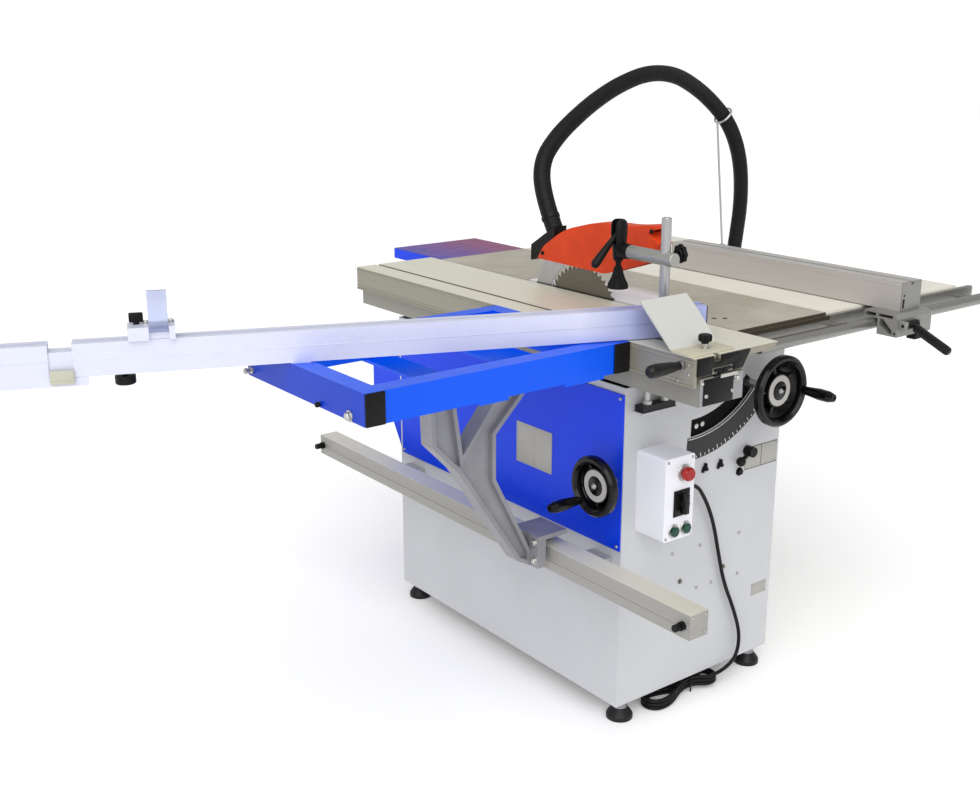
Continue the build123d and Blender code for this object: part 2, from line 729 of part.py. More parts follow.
def make_main_table():
    table = block(TABLE_LEFT, TABLE_RIGHT, TABLE_FRONT, TABLE_BACK, CAB_TOP, TABLE_TOP)
    pocket_right = TABLE_LEFT + POCKET_WIDTH
    table -= block(TABLE_LEFT - FREE, pocket_right, POCKET_FRONT, POCKET_BACK, TABLE_TOP - INSERT_THICK,
                   TABLE_TOP + FREE)
    return table - block(TABLE_LEFT - FREE, pocket_right - POCKET_LEDGE, POCKET_FRONT + POCKET_LEDGE,
                         POCKET_BACK - POCKET_LEDGE, CAB_TOP - FREE, TABLE_TOP)


def make_table_insert():
    return block(INSERT_LEFT, TABLE_LEFT + POCKET_WIDTH - GAP, POCKET_FRONT + GAP, POCKET_BACK - GAP,
                 TABLE_TOP - INSERT_THICK, TABLE_TOP)


def make_extension_wing():
    wing = block(WING_LEFT, WING_RIGHT, TABLE_FRONT, TABLE_BACK, CAB_TOP, TABLE_TOP)
    rim = WING_RIM
    middle = (TABLE_FRONT + TABLE_BACK) / 2
    for y0, y1 in ((TABLE_FRONT + rim, middle - rim / 2), (middle + rim / 2, TABLE_BACK - rim)):
        wing -= block(WING_LEFT + rim, WING_RIGHT - rim, y0, y1, CAB_TOP - FREE, TABLE_TOP - WING_SKIN)
    return wing


def make_rear_extension():
    back = TABLE_BACK + REAR_LENGTH
    s = REAR_SHEET
    low = TABLE_TOP - REAR_DEPTH
    shelf = block(TABLE_LEFT, TABLE_RIGHT, TABLE_BACK, back, low, TABLE_TOP)
    return shelf - block(TABLE_LEFT + s, TABLE_RIGHT - s, TABLE_BACK + s, back - s, low - FREE, TABLE_TOP - s)


# Tilting and rising gear

def trunnion(y0, towards):
    """Arc track against one wall; towards is the side, +1 or -1, on which the cradle's rib runs."""
    r0 = RIB_R - RIB_WIDTH / 2 - TRACK_GAP
    r1 = RIB_R + RIB_WIDTH / 2 + TRACK_GAP
    y1 = y0 + towards * TRACK_BASE
    y2 = y1 + towards * TRACK_DEPTH
    track = sector(r0 - TRACK_WALL, r1 + TRACK_WALL, TRACK_LEFT, TRACK_RIGHT, min(y0, y1), max(y0, y1))
    track += sector(r0 - TRACK_WALL, r0, TRACK_LEFT, TRACK_RIGHT, min(y1, y2), max(y1, y2))
    return track + sector(r1, r1 + TRACK_WALL, TRACK_LEFT, TRACK_RIGHT, min(y1, y2), max(y1, y2))


def make_trunnion_supports():
    front = trunnion(CAB_FRONT + SHEET, 1)
    back = trunnion(CAB_BACK - SHEET, -1)
    return Compound(children=[front, back])


def cradle_plate(wall, towards):
    """End plate of the cradle with the arc rib that runs in a track."""
    rib0 = wall + towards * (TRACK_BASE + TRACK_GAP)
    face0 = wall + towards * (TRACK_BASE + TRACK_DEPTH + TRACK_GAP)
    face1 = face0 + towards * PLATE_THICK
    low = min(face0, face1)
    high = max(face0, face1)
    plate = sector(PLATE_INNER_R, PLATE_STEP_R, RIB_LEFT, RIB_RIGHT, low, high)
    plate += sector(PLATE_STEP_R - FREE, GEAR_R, GEAR_LEFT, GEAR_RIGHT, low, high)
    plate += sector(RIB_R - RIB_WIDTH / 2, RIB_R + RIB_WIDTH / 2, RIB_LEFT, RIB_RIGHT, min(rib0, face0),
                    max(rib0, face0))
    return plate, face1


def make_tilt_cradle():
    front, front_face = cradle_plate(CAB_FRONT + SHEET, 1)
    back, back_face = cradle_plate(CAB_BACK - SHEET, -1)
    deck_top = DECK_BOTTOM + DECK_THICK
    cradle = front + back + block(DECK_LEFT, DECK_RIGHT, front_face, back_face, DECK_BOTTOM, deck_top)
    for y in (-COLUMN_Y, COLUMN_Y):
        cradle += rod_z(deck_top, COLUMN_TOP, COLUMN_X, y, COLUMN_R)
    eye = 2 * SHAFT_R
    arm = [(DECK_LEFT, deck_top), (DECK_RIGHT, deck_top), (SHAFT_X + eye, SHAFT_Z - eye),
           (SHAFT_X + eye, SHAFT_Z + eye), (SHAFT_X - eye, SHAFT_Z + eye),
           (DECK_LEFT + DECK_THICK, deck_top + 3 * DECK_THICK), (DECK_LEFT, deck_top + 2 * DECK_THICK)]
    cradle += prism_y(arm, BRACKET_Y, BRACKET_Y + BRACKET_THICK)
    hole_start = CAB_FRONT + SHEET
    return cradle - rod_y(hole_start, BRACKET_Y + BRACKET_THICK + FREE, SHAFT_X, SHAFT_Z, SHAFT_R + RUN)


def make_arbor_housing():
    housing = block(HOUSING_LEFT, HOUSING_RIGHT, -COLUMN_Y, COLUMN_Y, HOUSING_BOTTOM, HOUSING_TOP)
    boss_top = HOUSING_TOP + 2
    for y in (-COLUMN_Y, COLUMN_Y):
        housing += rod_z(boss_top - COLUMN_BOSS_LENGTH, boss_top, COLUMN_X, y, COLUMN_BOSS_R)
    for y in (-COLUMN_Y, COLUMN_Y):
        housing -= rod_z(boss_top - COLUMN_BOSS_LENGTH - FREE, boss_top + FREE, COLUMN_X, y, COLUMN_R + RUN)
    boss_left = BLADE_RIGHT_FACE + FLANGE_THICK + FREE
    housing += rod_x(boss_left, HOUSING_RIGHT, BLADE_Y, BLADE_Z, ARBOR_BOSS_R)
    housing -= rod_x(boss_left - FREE, HOUSING_RIGHT + FREE, BLADE_Y, BLADE_Z, ARBOR_R + RUN)
    arm_inner = MOTOR_PULLEY_R + BELT_THICK + ARM_WIDTH / 4
    plate_right = MOTOR_PLATE_LEFT + MOTOR_PLATE
    plate_low = MOTOR_Z - MOTOR_R - PULLEY_GAP
    plate_back = BLADE_Y + arm_inner + ARM_WIDTH
    plate = block(MOTOR_PLATE_LEFT, plate_right, RACK_FRONT, plate_back, plate_low, HOUSING_TOP)
    plate -= rod_x(MOTOR_PLATE_LEFT - FREE, plate_right + FREE, BLADE_Y, MOTOR_Z, MOTOR_SHAFT_R + 4 * FREE)
    housing += plate
    for y0 in (BLADE_Y - arm_inner - ARM_WIDTH, BLADE_Y + arm_inner):
        housing += block(HOUSING_RIGHT, MOTOR_PLATE_LEFT, y0, y0 + ARM_WIDTH, HOUSING_BOTTOM, HOUSING_TOP)
    rack_right = SHAFT_X - PINION_R - TRACK_GAP
    housing += block(plate_right, rack_right, RACK_FRONT, RACK_FRONT + RACK_WIDTH, RACK_BOTTOM, RACK_TOP)
    knife_right = BLADE_X + KNIFE_THICK / 2
    lug_front = BLADE_Y + sqrt(KNIFE_R ** 2 - (BLADE_Z - KNIFE_BOTTOM) ** 2)
    lug_top = HOUSING_BOTTOM + ARM_WIDTH
    return housing + block(knife_right, HOUSING_LEFT, lug_front, COLUMN_Y, HOUSING_BOTTOM, lug_top)


def make_motor():
    right = MOTOR_LEFT + MOTOR_LENGTH
    core_r = MOTOR_R - MOTOR_FIN_HEIGHT
    motor = rod_x(MOTOR_LEFT, right, BLADE_Y, MOTOR_Z, core_r)
    motor += rod_x(MOTOR_LEFT, MOTOR_LEFT + MOTOR_FLANGE, BLADE_Y, MOTOR_Z, MOTOR_R)
    motor += rod_x(right - MOTOR_COWL, right, BLADE_Y, MOTOR_Z, MOTOR_R)
    half = MOTOR_FIN_THICK / 2
    for i in range(MOTOR_FINS):
        turn = Pos(0, BLADE_Y, MOTOR_Z) * Rot(360 * i / MOTOR_FINS, 0, 0)
        motor += turn * block(MOTOR_LEFT, right, -half, half, core_r - FREE, MOTOR_R)
    shaft_end = MOTOR_LEFT + MOTOR_SHAFT_DEPTH
    return motor - rod_x(MOTOR_LEFT - FREE, shaft_end, BLADE_Y, MOTOR_Z, MOTOR_SHAFT_R + RUN)


def make_motor_pulley():
    shaft_end = MOTOR_LEFT + MOTOR_SHAFT_DEPTH - FREE
    pulley = rod_x(PULLEY_LEFT, PULLEY_RIGHT, BLADE_Y, MOTOR_Z, MOTOR_PULLEY_R)
    return pulley + rod_x(PULLEY_RIGHT, shaft_end, BLADE_Y, MOTOR_Z, MOTOR_SHAFT_R)


def belt_loop(extra):
    """The outline round both pulleys at a distance from their rims."""
    small = Pos(BLADE_Y, BLADE_Z) * Circle(ARBOR_PULLEY_R + extra)
    large = Pos(BLADE_Y, MOTOR_Z) * Circle(MOTOR_PULLEY_R + extra)
    return make_hull((small + large).edges())


def make_drive_belt():
    outline = belt_loop(TRACK_GAP + BELT_THICK) - belt_loop(TRACK_GAP)
    left = PULLEY_LEFT + (PULLEY_WIDTH - BELT_WIDTH) / 2
    return Plane(origin=(left, 0, 0), x_dir=(0, 1, 0), z_dir=(1, 0, 0)) * extrude(outline, BELT_WIDTH)


def make_arbor_shaft():
    thread_left = BLADE_LEFT_FACE - FLANGE_THICK - NUT_LENGTH - FREE
    seat_left = BLADE_LEFT_FACE - FLANGE_THICK + FREE
    shaft = rod_x(thread_left, seat_left, BLADE_Y, BLADE_Z, ARBOR_THREAD_R)
    shaft += rod_x(seat_left, PULLEY_LEFT, BLADE_Y, BLADE_Z, ARBOR_R)
    shaft += rod_x(BLADE_RIGHT_FACE, BLADE_RIGHT_FACE + FLANGE_THICK, BLADE_Y, BLADE_Z, FLANGE_R)
    return shaft + rod_x(PULLEY_LEFT, PULLEY_RIGHT, BLADE_Y, BLADE_Z, ARBOR_PULLEY_R)


def make_saw_blade():
    points = []
    pitch = 360 / BLADE_TEETH
    for i in range(BLADE_TEETH):
        for share, r in ((0, BLADE_R), (0.12, BLADE_R - BLADE_GULLET), (0.45, BLADE_R - BLADE_GULLET),
                         (0.85, BLADE_R - 2)):
            a = radians(pitch * (i + share))
            points.append((BLADE_Y + r * cos(a), BLADE_Z + r * sin(a)))
    blade = prism_x(points, BLADE_LEFT_FACE, BLADE_RIGHT_FACE)
    return blade - rod_x(BLADE_LEFT_FACE - FREE, BLADE_RIGHT_FACE + FREE, BLADE_Y, BLADE_Z, ARBOR_R + RUN)


def make_blade_flanges():
    left = BLADE_LEFT_FACE - FLANGE_THICK
    flange = rod_x(left, BLADE_LEFT_FACE, BLADE_Y, BLADE_Z, FLANGE_R)
    turns = [radians(60 * i) for i in range(6)]
    hexagon = [(BLADE_Y + NUT_R * cos(a), BLADE_Z + NUT_R * sin(a)) for a in turns]
    flange += prism_x(hexagon, left - NUT_LENGTH, left)
    flange -= rod_x(left - NUT_LENGTH - FREE, BLADE_LEFT_FACE + FREE, BLADE_Y, BLADE_Z, ARBOR_THREAD_R + RUN)
    return flange - rod_x(left + FREE - RUN, BLADE_LEFT_FACE + FREE, BLADE_Y, BLADE_Z, ARBOR_R + RUN)


def make_riving_knife():
    def inner(z):
        return BLADE_Y + sqrt(KNIFE_R ** 2 - (z - BLADE_Z) ** 2)
    x = BLADE_X - KNIFE_THICK / 2
    low = Vector(x, inner(KNIFE_BOTTOM), KNIFE_BOTTOM)
    middle = Vector(x, inner(TABLE_TOP), TABLE_TOP)
    high = Vector(x, inner(KNIFE_SHOULDER), KNIFE_SHOULDER)
    edge = Edge.make_three_point_arc(low, middle, high)
    corners = [high, Vector(x, high.Y + GUARD_BOLT_R, KNIFE_TOP),
               Vector(x, GUARD_BOLT_Y + 2 * GUARD_BOLT_R, KNIFE_TOP),
               Vector(x, KNIFE_BACK, TABLE_TOP), Vector(x, KNIFE_BACK, KNIFE_BOTTOM), low]
    sides = [Edge.make_line(a, b) for a, b in zip(corners, corners[1:])]
    return extrude(Face(Wire([edge] + sides)), amount=KNIFE_THICK, dir=(1, 0, 0))


def make_blade_guard():
    left = BLADE_X - GUARD_WIDTH / 2
    right = BLADE_X + GUARD_WIDTH / 2
    inner = [(y, z - GUARD_CROWN) for y, z in GUARD_OUTLINE]
    guard = prism_x(GUARD_OUTLINE, left, right) - prism_x(inner, left + GUARD_SIDE, right - GUARD_SIDE)
    for x0, x1 in ((left, BLADE_X - KNIFE_THICK / 2), (BLADE_X + KNIFE_THICK / 2, right)):
        guard += rod_x(x0, x1, GUARD_BOLT_Y, GUARD_BOLT_Z, GUARD_BOLT_R)
    return guard


def make_guard_spout():
    tail, slope, crest = GUARD_OUTLINE[:3]
    seat = Vector(BLADE_X, SPOUT_Y, HOSE_SEAT)
    down = Vector(0, SPOUT_AXIS.Z, -SPOUT_AXIS.Y)
    top = seat - SPOUT_AXIS * 2 * FREE
    front = top - down * (HOSE_R + 2 * FREE)
    back = top + down * HOSE_R
    on_slope = slope[1] + (slope[0] - front.Y) * (crest[1] - slope[1]) / (slope[0] - crest[0])
    outline = [tail, slope, (front.Y, on_slope), (front.Y, front.Z), (back.Y, back.Z), (SPOUT_BACK, slope[1]),
               (SPOUT_BACK, tail[1] - SPOUT_DROP)]
    spout = prism_x(outline, BLADE_X - SPOUT_WIDTH / 2, BLADE_X + SPOUT_WIDTH / 2)
    end = seat + SPOUT_AXIS * SPIGOT_LENGTH
    spout += rod_between(top - SPOUT_AXIS * FREE, end, SPIGOT_R)
    return spout - rod_between(seat - SPOUT_AXIS * SPIGOT_DEPTH, end + SPOUT_AXIS * FREE, SPIGOT_R - PORT_WALL)


# Hand wheels and their shafts

def wheel(r, grip_angle):
    """A hand wheel about Z, dished between rim and dial, with a pin for its grip; its front faces +Z."""
    bore = SHAFT_R
    back = WHEEL_RIM_BACK
    front = WHEEL_RIM_FRONT
    edge = WHEEL_RIM_ROUND
    inner = r - WHEEL_RIM_WIDTH
    outline = [(bore, -WHEEL_HUB_BACK), (WHEEL_HUB_R, -WHEEL_HUB_BACK), (WHEEL_HUB_R + edge, edge),
               (inner, back - edge / 2), (r - edge, back), (r, back + edge), (r, front - edge),
               (r - edge, front), (inner + edge, front), (inner, front - edge), (inner - edge / 2, back + edge),
               (WHEEL_DIAL_R + edge / 2, WHEEL_WEB), (WHEEL_DIAL_R, WHEEL_DEPTH), (bore, WHEEL_DEPTH)]
    pin_r = r - GRIP_INSET
    x = pin_r * cos(radians(grip_angle))
    y = pin_r * sin(radians(grip_angle))
    return turned(outline) + rod_z(back + edge, GRIP_START + GRIP_LENGTH - 2 * FREE, x, y, GRIP_PIN_R)


def grip(r, grip_angle):
    """A revolving grip that sits on the pin of a hand wheel."""
    bore = GRIP_PIN_R + RUN
    long = GRIP_LENGTH
    outline = [(bore, 0), (GRIP_NECK_R, 0), (GRIP_NECK_R + FREE, 0.08 * long), (GRIP_R, 0.52 * long),
               (GRIP_R - GAP, 0.82 * long), (GRIP_NECK_R, long), (bore, long)]
    pin_r = r - GRIP_INSET
    x = pin_r * cos(radians(grip_angle))
    y = pin_r * sin(radians(grip_angle))
    return Pos(x, y, GRIP_START) * turned(outline)


HEIGHT_WHEEL_PLACE = Pos(SHAFT_X, HEIGHT_WHEEL_FRONT + WHEEL_DEPTH, SHAFT_Z) * Rot(90, 0, 0)
TILT_WHEEL_PLACE = Pos(TILT_WHEEL_LEFT + WHEEL_DEPTH, TILT_SHAFT_Y, TILT_SHAFT_Z) * Rot(0, -90, 0)


def make_height_screw():
    step = RACK_FRONT - 2 * FREE
    shaft = rod_y(HEIGHT_WHEEL_FRONT, step, SHAFT_X, SHAFT_Z, SHAFT_R)
    return shaft + rod_y(step, RACK_FRONT + RACK_WIDTH + 2 * FREE, SHAFT_X, SHAFT_Z, PINION_R)


def make_tilt_screw():
    shaft = rod_x(TILT_WHEEL_LEFT, WORM_RIGHT, TILT_SHAFT_Y, TILT_SHAFT_Z, SHAFT_R)
    shaft += rod_x(WORM_LEFT, WORM_RIGHT, TILT_SHAFT_Y, TILT_SHAFT_Z, WORM_R)
    return shaft + rod_x(WORM_RIGHT, WORM_RIGHT + END_BEARING, TILT_SHAFT_Y, TILT_SHAFT_Z, END_SHAFT_R)


# Sliding table

def make_beam():
    w = BEAM_WALL
    beam = block(BEAM_LEFT, BEAM_RIGHT, SLIDE_FRONT, SLIDE_BACK, BEAM_BOTTOM, BEAM_TOP)
    middle = (BEAM_LEFT + BEAM_RIGHT) / 2
    for x0, x1 in ((BEAM_LEFT + w, middle - w / 2), (middle + w / 2, BEAM_RIGHT - w)):
        beam -= block(x0, x1, SLIDE_FRONT - FREE, SLIDE_BACK + FREE, BEAM_BOTTOM + w, BEAM_TOP - w)
    beam += block(GUIDE_X - GUIDE_NECK / 2, GUIDE_X + GUIDE_NECK / 2, SLIDE_FRONT, SLIDE_BACK, BEAM_TOP,
                  GUIDE_HEAD_BOTTOM)
    return beam + block(GUIDE_X - GUIDE_HEAD / 2, GUIDE_X + GUIDE_HEAD / 2, SLIDE_FRONT, SLIDE_BACK,
                        GUIDE_HEAD_BOTTOM, GUIDE_HEAD_TOP)


def make_carriage():
    low = TABLE_TOP - FLANGE_DEPTH
    outline = [(CARRIAGE_LEFT, TABLE_TOP), (CARRIAGE_RIGHT, TABLE_TOP), (CARRIAGE_RIGHT - FLANGE_DEPTH, low),
               (CARRIAGE_BOX_RIGHT, low), (CARRIAGE_FOOT_RIGHT, CARRIAGE_BOTTOM),
               (CARRIAGE_LEFT + SKIRT_THICK, CARRIAGE_BOTTOM), (CARRIAGE_LEFT + SKIRT_THICK, SKIRT_BOTTOM),
               (CARRIAGE_LEFT, SKIRT_BOTTOM)]
    body = prism_y(outline, SLIDE_FRONT, SLIDE_BACK)

    def groove(x, width, z0, z1):
        return block(x - width / 2, x + width / 2, SLIDE_FRONT - FREE, SLIDE_BACK + FREE, z0, z1)

    body -= groove(GUIDE_X, GUIDE_HEAD + 2 * GAP, GUIDE_HEAD_BOTTOM - GAP, GUIDE_HEAD_TOP + GAP)
    body -= groove(GUIDE_X, GUIDE_NECK + 2 * GAP, CARRIAGE_BOTTOM - FREE, GUIDE_HEAD_BOTTOM)
    body -= groove(SLOT_X, TSLOT_MOUTH, TABLE_TOP - TSLOT_DEPTH, TABLE_TOP + FREE)
    body -= groove(SLOT_X, TSLOT_HEAD, TABLE_TOP - TSLOT_DEPTH, TABLE_TOP - TSLOT_LIP)
    chamber_left = CARRIAGE_LEFT + SKIRT_THICK
    chamber_right = GUIDE_X - GUIDE_HEAD / 2 - 2 * TRACK_BASE
    chamber_x = (chamber_left + chamber_right) / 2
    floor = CARRIAGE_BOTTOM + TRACK_BASE
    body -= groove(chamber_x, chamber_right - chamber_left, floor, TABLE_TOP - TRACK_BASE)
    return body - rod_z(CLAMP_COLUMN_BOTTOM - FREE, TABLE_TOP + FREE, CLAMP_X, CLAMP_Y, CLAMP_COLUMN_R + RUN)


def make_slide_brackets():
    """Two studded supports under the beam and two blocks between the lower rail and the cabinet."""
    low = SUPPORT_FLANGE_Z + SUPPORT_FLANGE
    top = low + SUPPORT_HEIGHT
    middle = (SUPPORT_LEFT + SUPPORT_RIGHT) / 2
    supports = []
    for y0 in (CAB_FRONT - SUPPORT_GAP - SUPPORT_DEPTH, CAB_BACK + SUPPORT_GAP):
        support = block(SUPPORT_LEFT, SUPPORT_RIGHT, y0, y0 + SUPPORT_DEPTH, low, top)
        for x in (middle - STUD_PITCH / 2, middle + STUD_PITCH / 2):
            y = y0 + SUPPORT_DEPTH / 2
            support += rod_z(top, BEAM_BOTTOM, x, y, STUD_R)
            support += rod_z(top, top + STUD_NUT, x, y, STUD_NUT_R)
            support += rod_z(BEAM_BOTTOM - STUD_NUT, BEAM_BOTTOM, x, y, STUD_NUT_R)
        supports.append(support)
    rail_middle = (RAIL_BOTTOM + RAIL_TOP) / 2
    half = RAIL_BRACKET_LENGTH / 2
    for y in (RAIL_BRACKET_FRONT, RAIL_BRACKET_BACK):
        supports.append(block(RAIL_RIGHT, CAB_LEFT, y - half, y + half, RAIL_BOTTOM, rail_middle))
    return Compound(children=supports)


def make_lower_rail():
    w = RAIL_WALL
    middle = (RAIL_BOTTOM + RAIL_TOP) / 2
    rail = block(RAIL_LEFT, RAIL_RIGHT, RAIL_FRONT, RAIL_BACK, RAIL_BOTTOM, RAIL_TOP)
    y0 = RAIL_FRONT - FREE
    y1 = RAIL_BACK + FREE
    half = RAIL_GROOVE / 2
    rail -= block(RAIL_LEFT + w, RAIL_RIGHT - w, y0, y1, RAIL_BOTTOM + w, RAIL_TOP - w)
    return rail - block(RAIL_LEFT - FREE, RAIL_LEFT + w + FREE, y0, y1, middle - half, middle + half)


def make_push_handle():
    long = HANDLE_LENGTH
    outline = [(0, 0), (HANDLE_NECK_R, 0), (HANDLE_NECK_R, 0.09 * long), (0.8 * HANDLE_NECK_R, 0.12 * long),
               (0.78 * HANDLE_R, 0.33 * long), (HANDLE_R, 0.76 * long), (0.9 * HANDLE_R, 0.93 * long),
               (0.5 * HANDLE_R, long), (0, long)]
    return Pos(CARRIAGE_LEFT, SLIDE_FRONT + HANDLE_INSET, HANDLE_Z) * Rot(0, -90, 0) * turned(outline)


def make_outrigger_frame():
    left_in = FRAME_LEFT + TUBE_WIDTH
    right_in = FRAME_RIGHT - TUBE_WIDTH
    w = TUBE_WALL
    z0 = TUBE_BOTTOM
    z1 = TUBE_TOP
    frame = block(FRAME_LEFT, left_in, FRAME_FRONT, FRAME_BACK, z0, z1)
    frame += block(right_in, FRAME_RIGHT, FRAME_FRONT, FRAME_BACK, z0, z1)
    cross = ((FRAME_FRONT, FRAME_FRONT + TUBE_WIDTH), (FRAME_BACK - TUBE_WIDTH, FRAME_BACK))
    for y0, y1 in cross:
        frame += block(left_in, right_in, y0, y1, z0, z1)
    for x0 in (FRAME_LEFT, right_in):
        frame -= block(x0 + w, x0 + TUBE_WIDTH - w, FRAME_FRONT - FREE, FRAME_BACK + FREE, z0 + w, z1 - w)
    for y0, y1 in cross:
        frame -= block(left_in, right_in, y0 + w, y1 - w, z0 + w, z1 - w)
    for x, width in ((BAR_LEFT_X, BAR_LEFT_WIDTH), (BAR_RIGHT_X, BAR_RIGHT_WIDTH)):
        frame += block(x - width / 2, x + width / 2, FRAME_FRONT, FRAME_BACK, BAR_BOTTOM, z0)
    return frame


def make_support_strut():
    top = BAR_BOTTOM
    left, fork_left, fork_right, right = STRUT_TOP_XS
    foot_top = BRACKET_BOTTOM + STRUT_FOOT
    outline = [(left, top), *STRUT_LEG_LEFT, (BRACKET_LEFT, BRACKET_BOTTOM), (BRACKET_LEFT, foot_top),
               *STRUT_LEG_RIGHT, (right, top), (fork_right, top), *STRUT_FORK, (fork_left, top)]
    middle = STRUT_FRONT + STRUT_THICK / 2
    strut = prism_y(outline, STRUT_FRONT, STRUT_FRONT + STRUT_THICK)
    face = Face(Wire.make_polygon([Vector(x, z, 0) for x, z in outline]))
    inset = offset(face, -STRUT_RIM, kind=Kind.INTERSECTION)
    plane = Plane(origin=(0, 0, 0), x_dir=(1, 0, 0), z_dir=(0, -1, 0))
    for y0, y1 in ((STRUT_FRONT - FREE, STRUT_FRONT + STRUT_RECESS),
                   (STRUT_FRONT + STRUT_THICK - STRUT_RECESS, STRUT_FRONT + STRUT_THICK + FREE)):
        strut -= Pos(0, y1, 0) * (plane * extrude(inset, y1 - y0))
    y0 = middle - BRACKET_LENGTH / 2
    y1 = middle + BRACKET_LENGTH / 2
    strut += block(BRACKET_LEFT, BRACKET_LEFT + BRACKET_WALL, y0, y1, BRACKET_BOTTOM, BRACKET_TOP)
    strut += block(BRACKET_LEFT, BRACKET_RIGHT, y0, y1, BRACKET_TOP - BRACKET_PLATE, BRACKET_TOP)
    axle_z = RAIL_TOP + ROLLER_R + ROLLER_LIFT
    hole_end = BRACKET_LEFT + BRACKET_WALL + FREE
    return strut - rod_x(BRACKET_LEFT + FREE, hole_end, middle, axle_z, ROLLER_AXLE_R + RUN)


def make_strut_roller():
    y = STRUT_FRONT + STRUT_THICK / 2
    z = RAIL_TOP + ROLLER_R + ROLLER_LIFT
    middle = (RAIL_LEFT + RAIL_RIGHT) / 2
    roller = rod_x(middle - ROLLER_LENGTH / 2, middle + ROLLER_LENGTH / 2, y, z, ROLLER_R)
    return roller + rod_x(BRACKET_LEFT + 2 * FREE, middle, y, z, ROLLER_AXLE_R)


# Crosscut fence, its extension and stop, drawn with the right front corner at the origin

FENCE_PLACE = Pos(FENCE_X, FENCE_Y, 0) * Rot(0, 0, -FENCE_ANGLE)


def fence_bar(x0, x1):
    """A hollow fence profile with a T-slot along its top."""
    w = FENCE_WALL
    middle = FENCE_DEPTH / 2
    bar = block(x0, x1, 0, FENCE_DEPTH, FENCE_BOTTOM, FENCE_TOP)
    hollow_top = FENCE_BOTTOM + w + TONGUE_HEIGHT + 2 * GAP
    bar -= block(x0 - FREE, x1 + FREE, w, FENCE_DEPTH - w, FENCE_BOTTOM + w, hollow_top)
    slot = FENCE_SLOT / 2
    head = FENCE_SLOT_HEAD / 2
    bar -= block(x0 - FREE, x1 + FREE, middle - slot, middle + slot, hollow_top + w, FENCE_TOP + FREE)
    return bar - block(x0 - FREE, x1 + FREE, middle - head, middle + head, hollow_top + w, FENCE_TOP - w)


def make_crosscut_fence():
    fence = fence_bar(-FENCE_LENGTH, 0)
    low = TABLE_TOP + PAD_GAP
    fence += rod_z(low, FENCE_BOTTOM + FENCE_WALL, -FENCE_PIVOT_BACK, FENCE_DEPTH / 2, FENCE_PIVOT_R)
    half = FENCE_PAD_LENGTH / 2
    fence += block(-FENCE_PAD_AT - half, -FENCE_PAD_AT + half, 0, FENCE_DEPTH, low, FENCE_BOTTOM)
    return FENCE_PLACE * fence


def make_fence_extension():
    right = -FENCE_LENGTH - EXTENSION_GAP
    left = right - EXTENSION_LENGTH
    bar = fence_bar(left, right)
    w = FENCE_WALL + GAP
    low = FENCE_BOTTOM + w
    tip = TONGUE_LENGTH - FENCE_LENGTH
    tongue = block(left + FENCE_DEPTH, tip, w, FENCE_DEPTH - w, low, low + TONGUE_HEIGHT)
    core = block(left, tip + FREE, 2 * w, FENCE_DEPTH - 2 * w, low + w, low + TONGUE_HEIGHT - w)
    bridge = block(right - FENCE_DEPTH, right, FENCE_WALL, FENCE_DEPTH - FENCE_WALL, FENCE_BOTTOM + FENCE_WALL,
                   low + TONGUE_HEIGHT)
    lip_top = FENCE_BOTTOM - PAD_GAP
    lip = block(left, -FENCE_LENGTH + LIP_OVERLAP, 0, LIP_DEPTH, lip_top - LIP_HEIGHT, lip_top)
    lip += block(left, right, 0, LIP_DEPTH, lip_top, FENCE_BOTTOM + FENCE_WALL)
    return FENCE_PLACE * (bar + bridge + tongue - core + lip)


def make_flip_stop():
    x0 = STOP_X - STOP_LENGTH / 2
    x1 = STOP_X + STOP_LENGTH / 2
    low = FENCE_TOP + PAD_GAP
    front = -FREE - FINGER_THICK - STOP_SKIN
    body = block(x0, x1, front, FENCE_DEPTH, low, low + STOP_HEIGHT)
    finger_half = FINGER_WIDTH / 2 + GAP
    body -= block(FINGER_X - finger_half, FINGER_X + finger_half, front - FREE, FREE, low - FREE,
                  low + STOP_HEIGHT + FREE)
    pivot_z = low + FINGER_PIVOT_LIFT
    pivot_y = -FREE - FINGER_THICK / 2
    return FENCE_PLACE * (body - rod_x(x0 - FREE, x1 + FREE, pivot_y, pivot_z, FINGER_PIN_R + RUN))


def make_stop_finger():
    low = FENCE_TOP + PAD_GAP
    pivot_z = low + FINGER_PIVOT_LIFT
    pivot_y = -FREE - FINGER_THICK / 2
    half = FINGER_WIDTH / 2
    top = pivot_z + FINGER_LENGTH
    finger = block(FINGER_X - half, FINGER_X + half, -FREE - FINGER_THICK, -FREE, pivot_z, top)
    finger += rod_x(FINGER_X - half, FINGER_X + half, pivot_y, pivot_z, FINGER_THICK / 2 + GAP)
    pin_half = STOP_LENGTH / 2 - FREE
    return FENCE_PLACE * (finger + rod_x(STOP_X - pin_half, STOP_X + pin_half, pivot_y, pivot_z, FINGER_PIN_R))


def make_edging_shoe():
    t = SHOE_THICK
    top = TABLE_TOP + SHOE_RISE
    outline = [(SHOE_FRONT, TABLE_TOP), (SHOE_BEND + t / 2, TABLE_TOP), (SHOE_BACK + t / 2, top - t),
               (SHOE_BACK - t / 2, top), (SHOE_BEND - t / 2, TABLE_TOP + t), (SHOE_FRONT, TABLE_TOP + t)]
    shoe = prism_x(outline, SHOE_LEFT, SHOE_RIGHT)
    middle = (SHOE_BEND + SHOE_BACK) / 2
    notch = [(SHOE_RIGHT + FREE, middle - SHOE_NOTCH / 2), (SHOE_RIGHT - SHOE_NOTCH, middle),
             (SHOE_RIGHT + FREE, middle + SHOE_NOTCH / 2)]
    return shoe - prism_z(notch, TABLE_TOP + 2 * t, top + FREE)


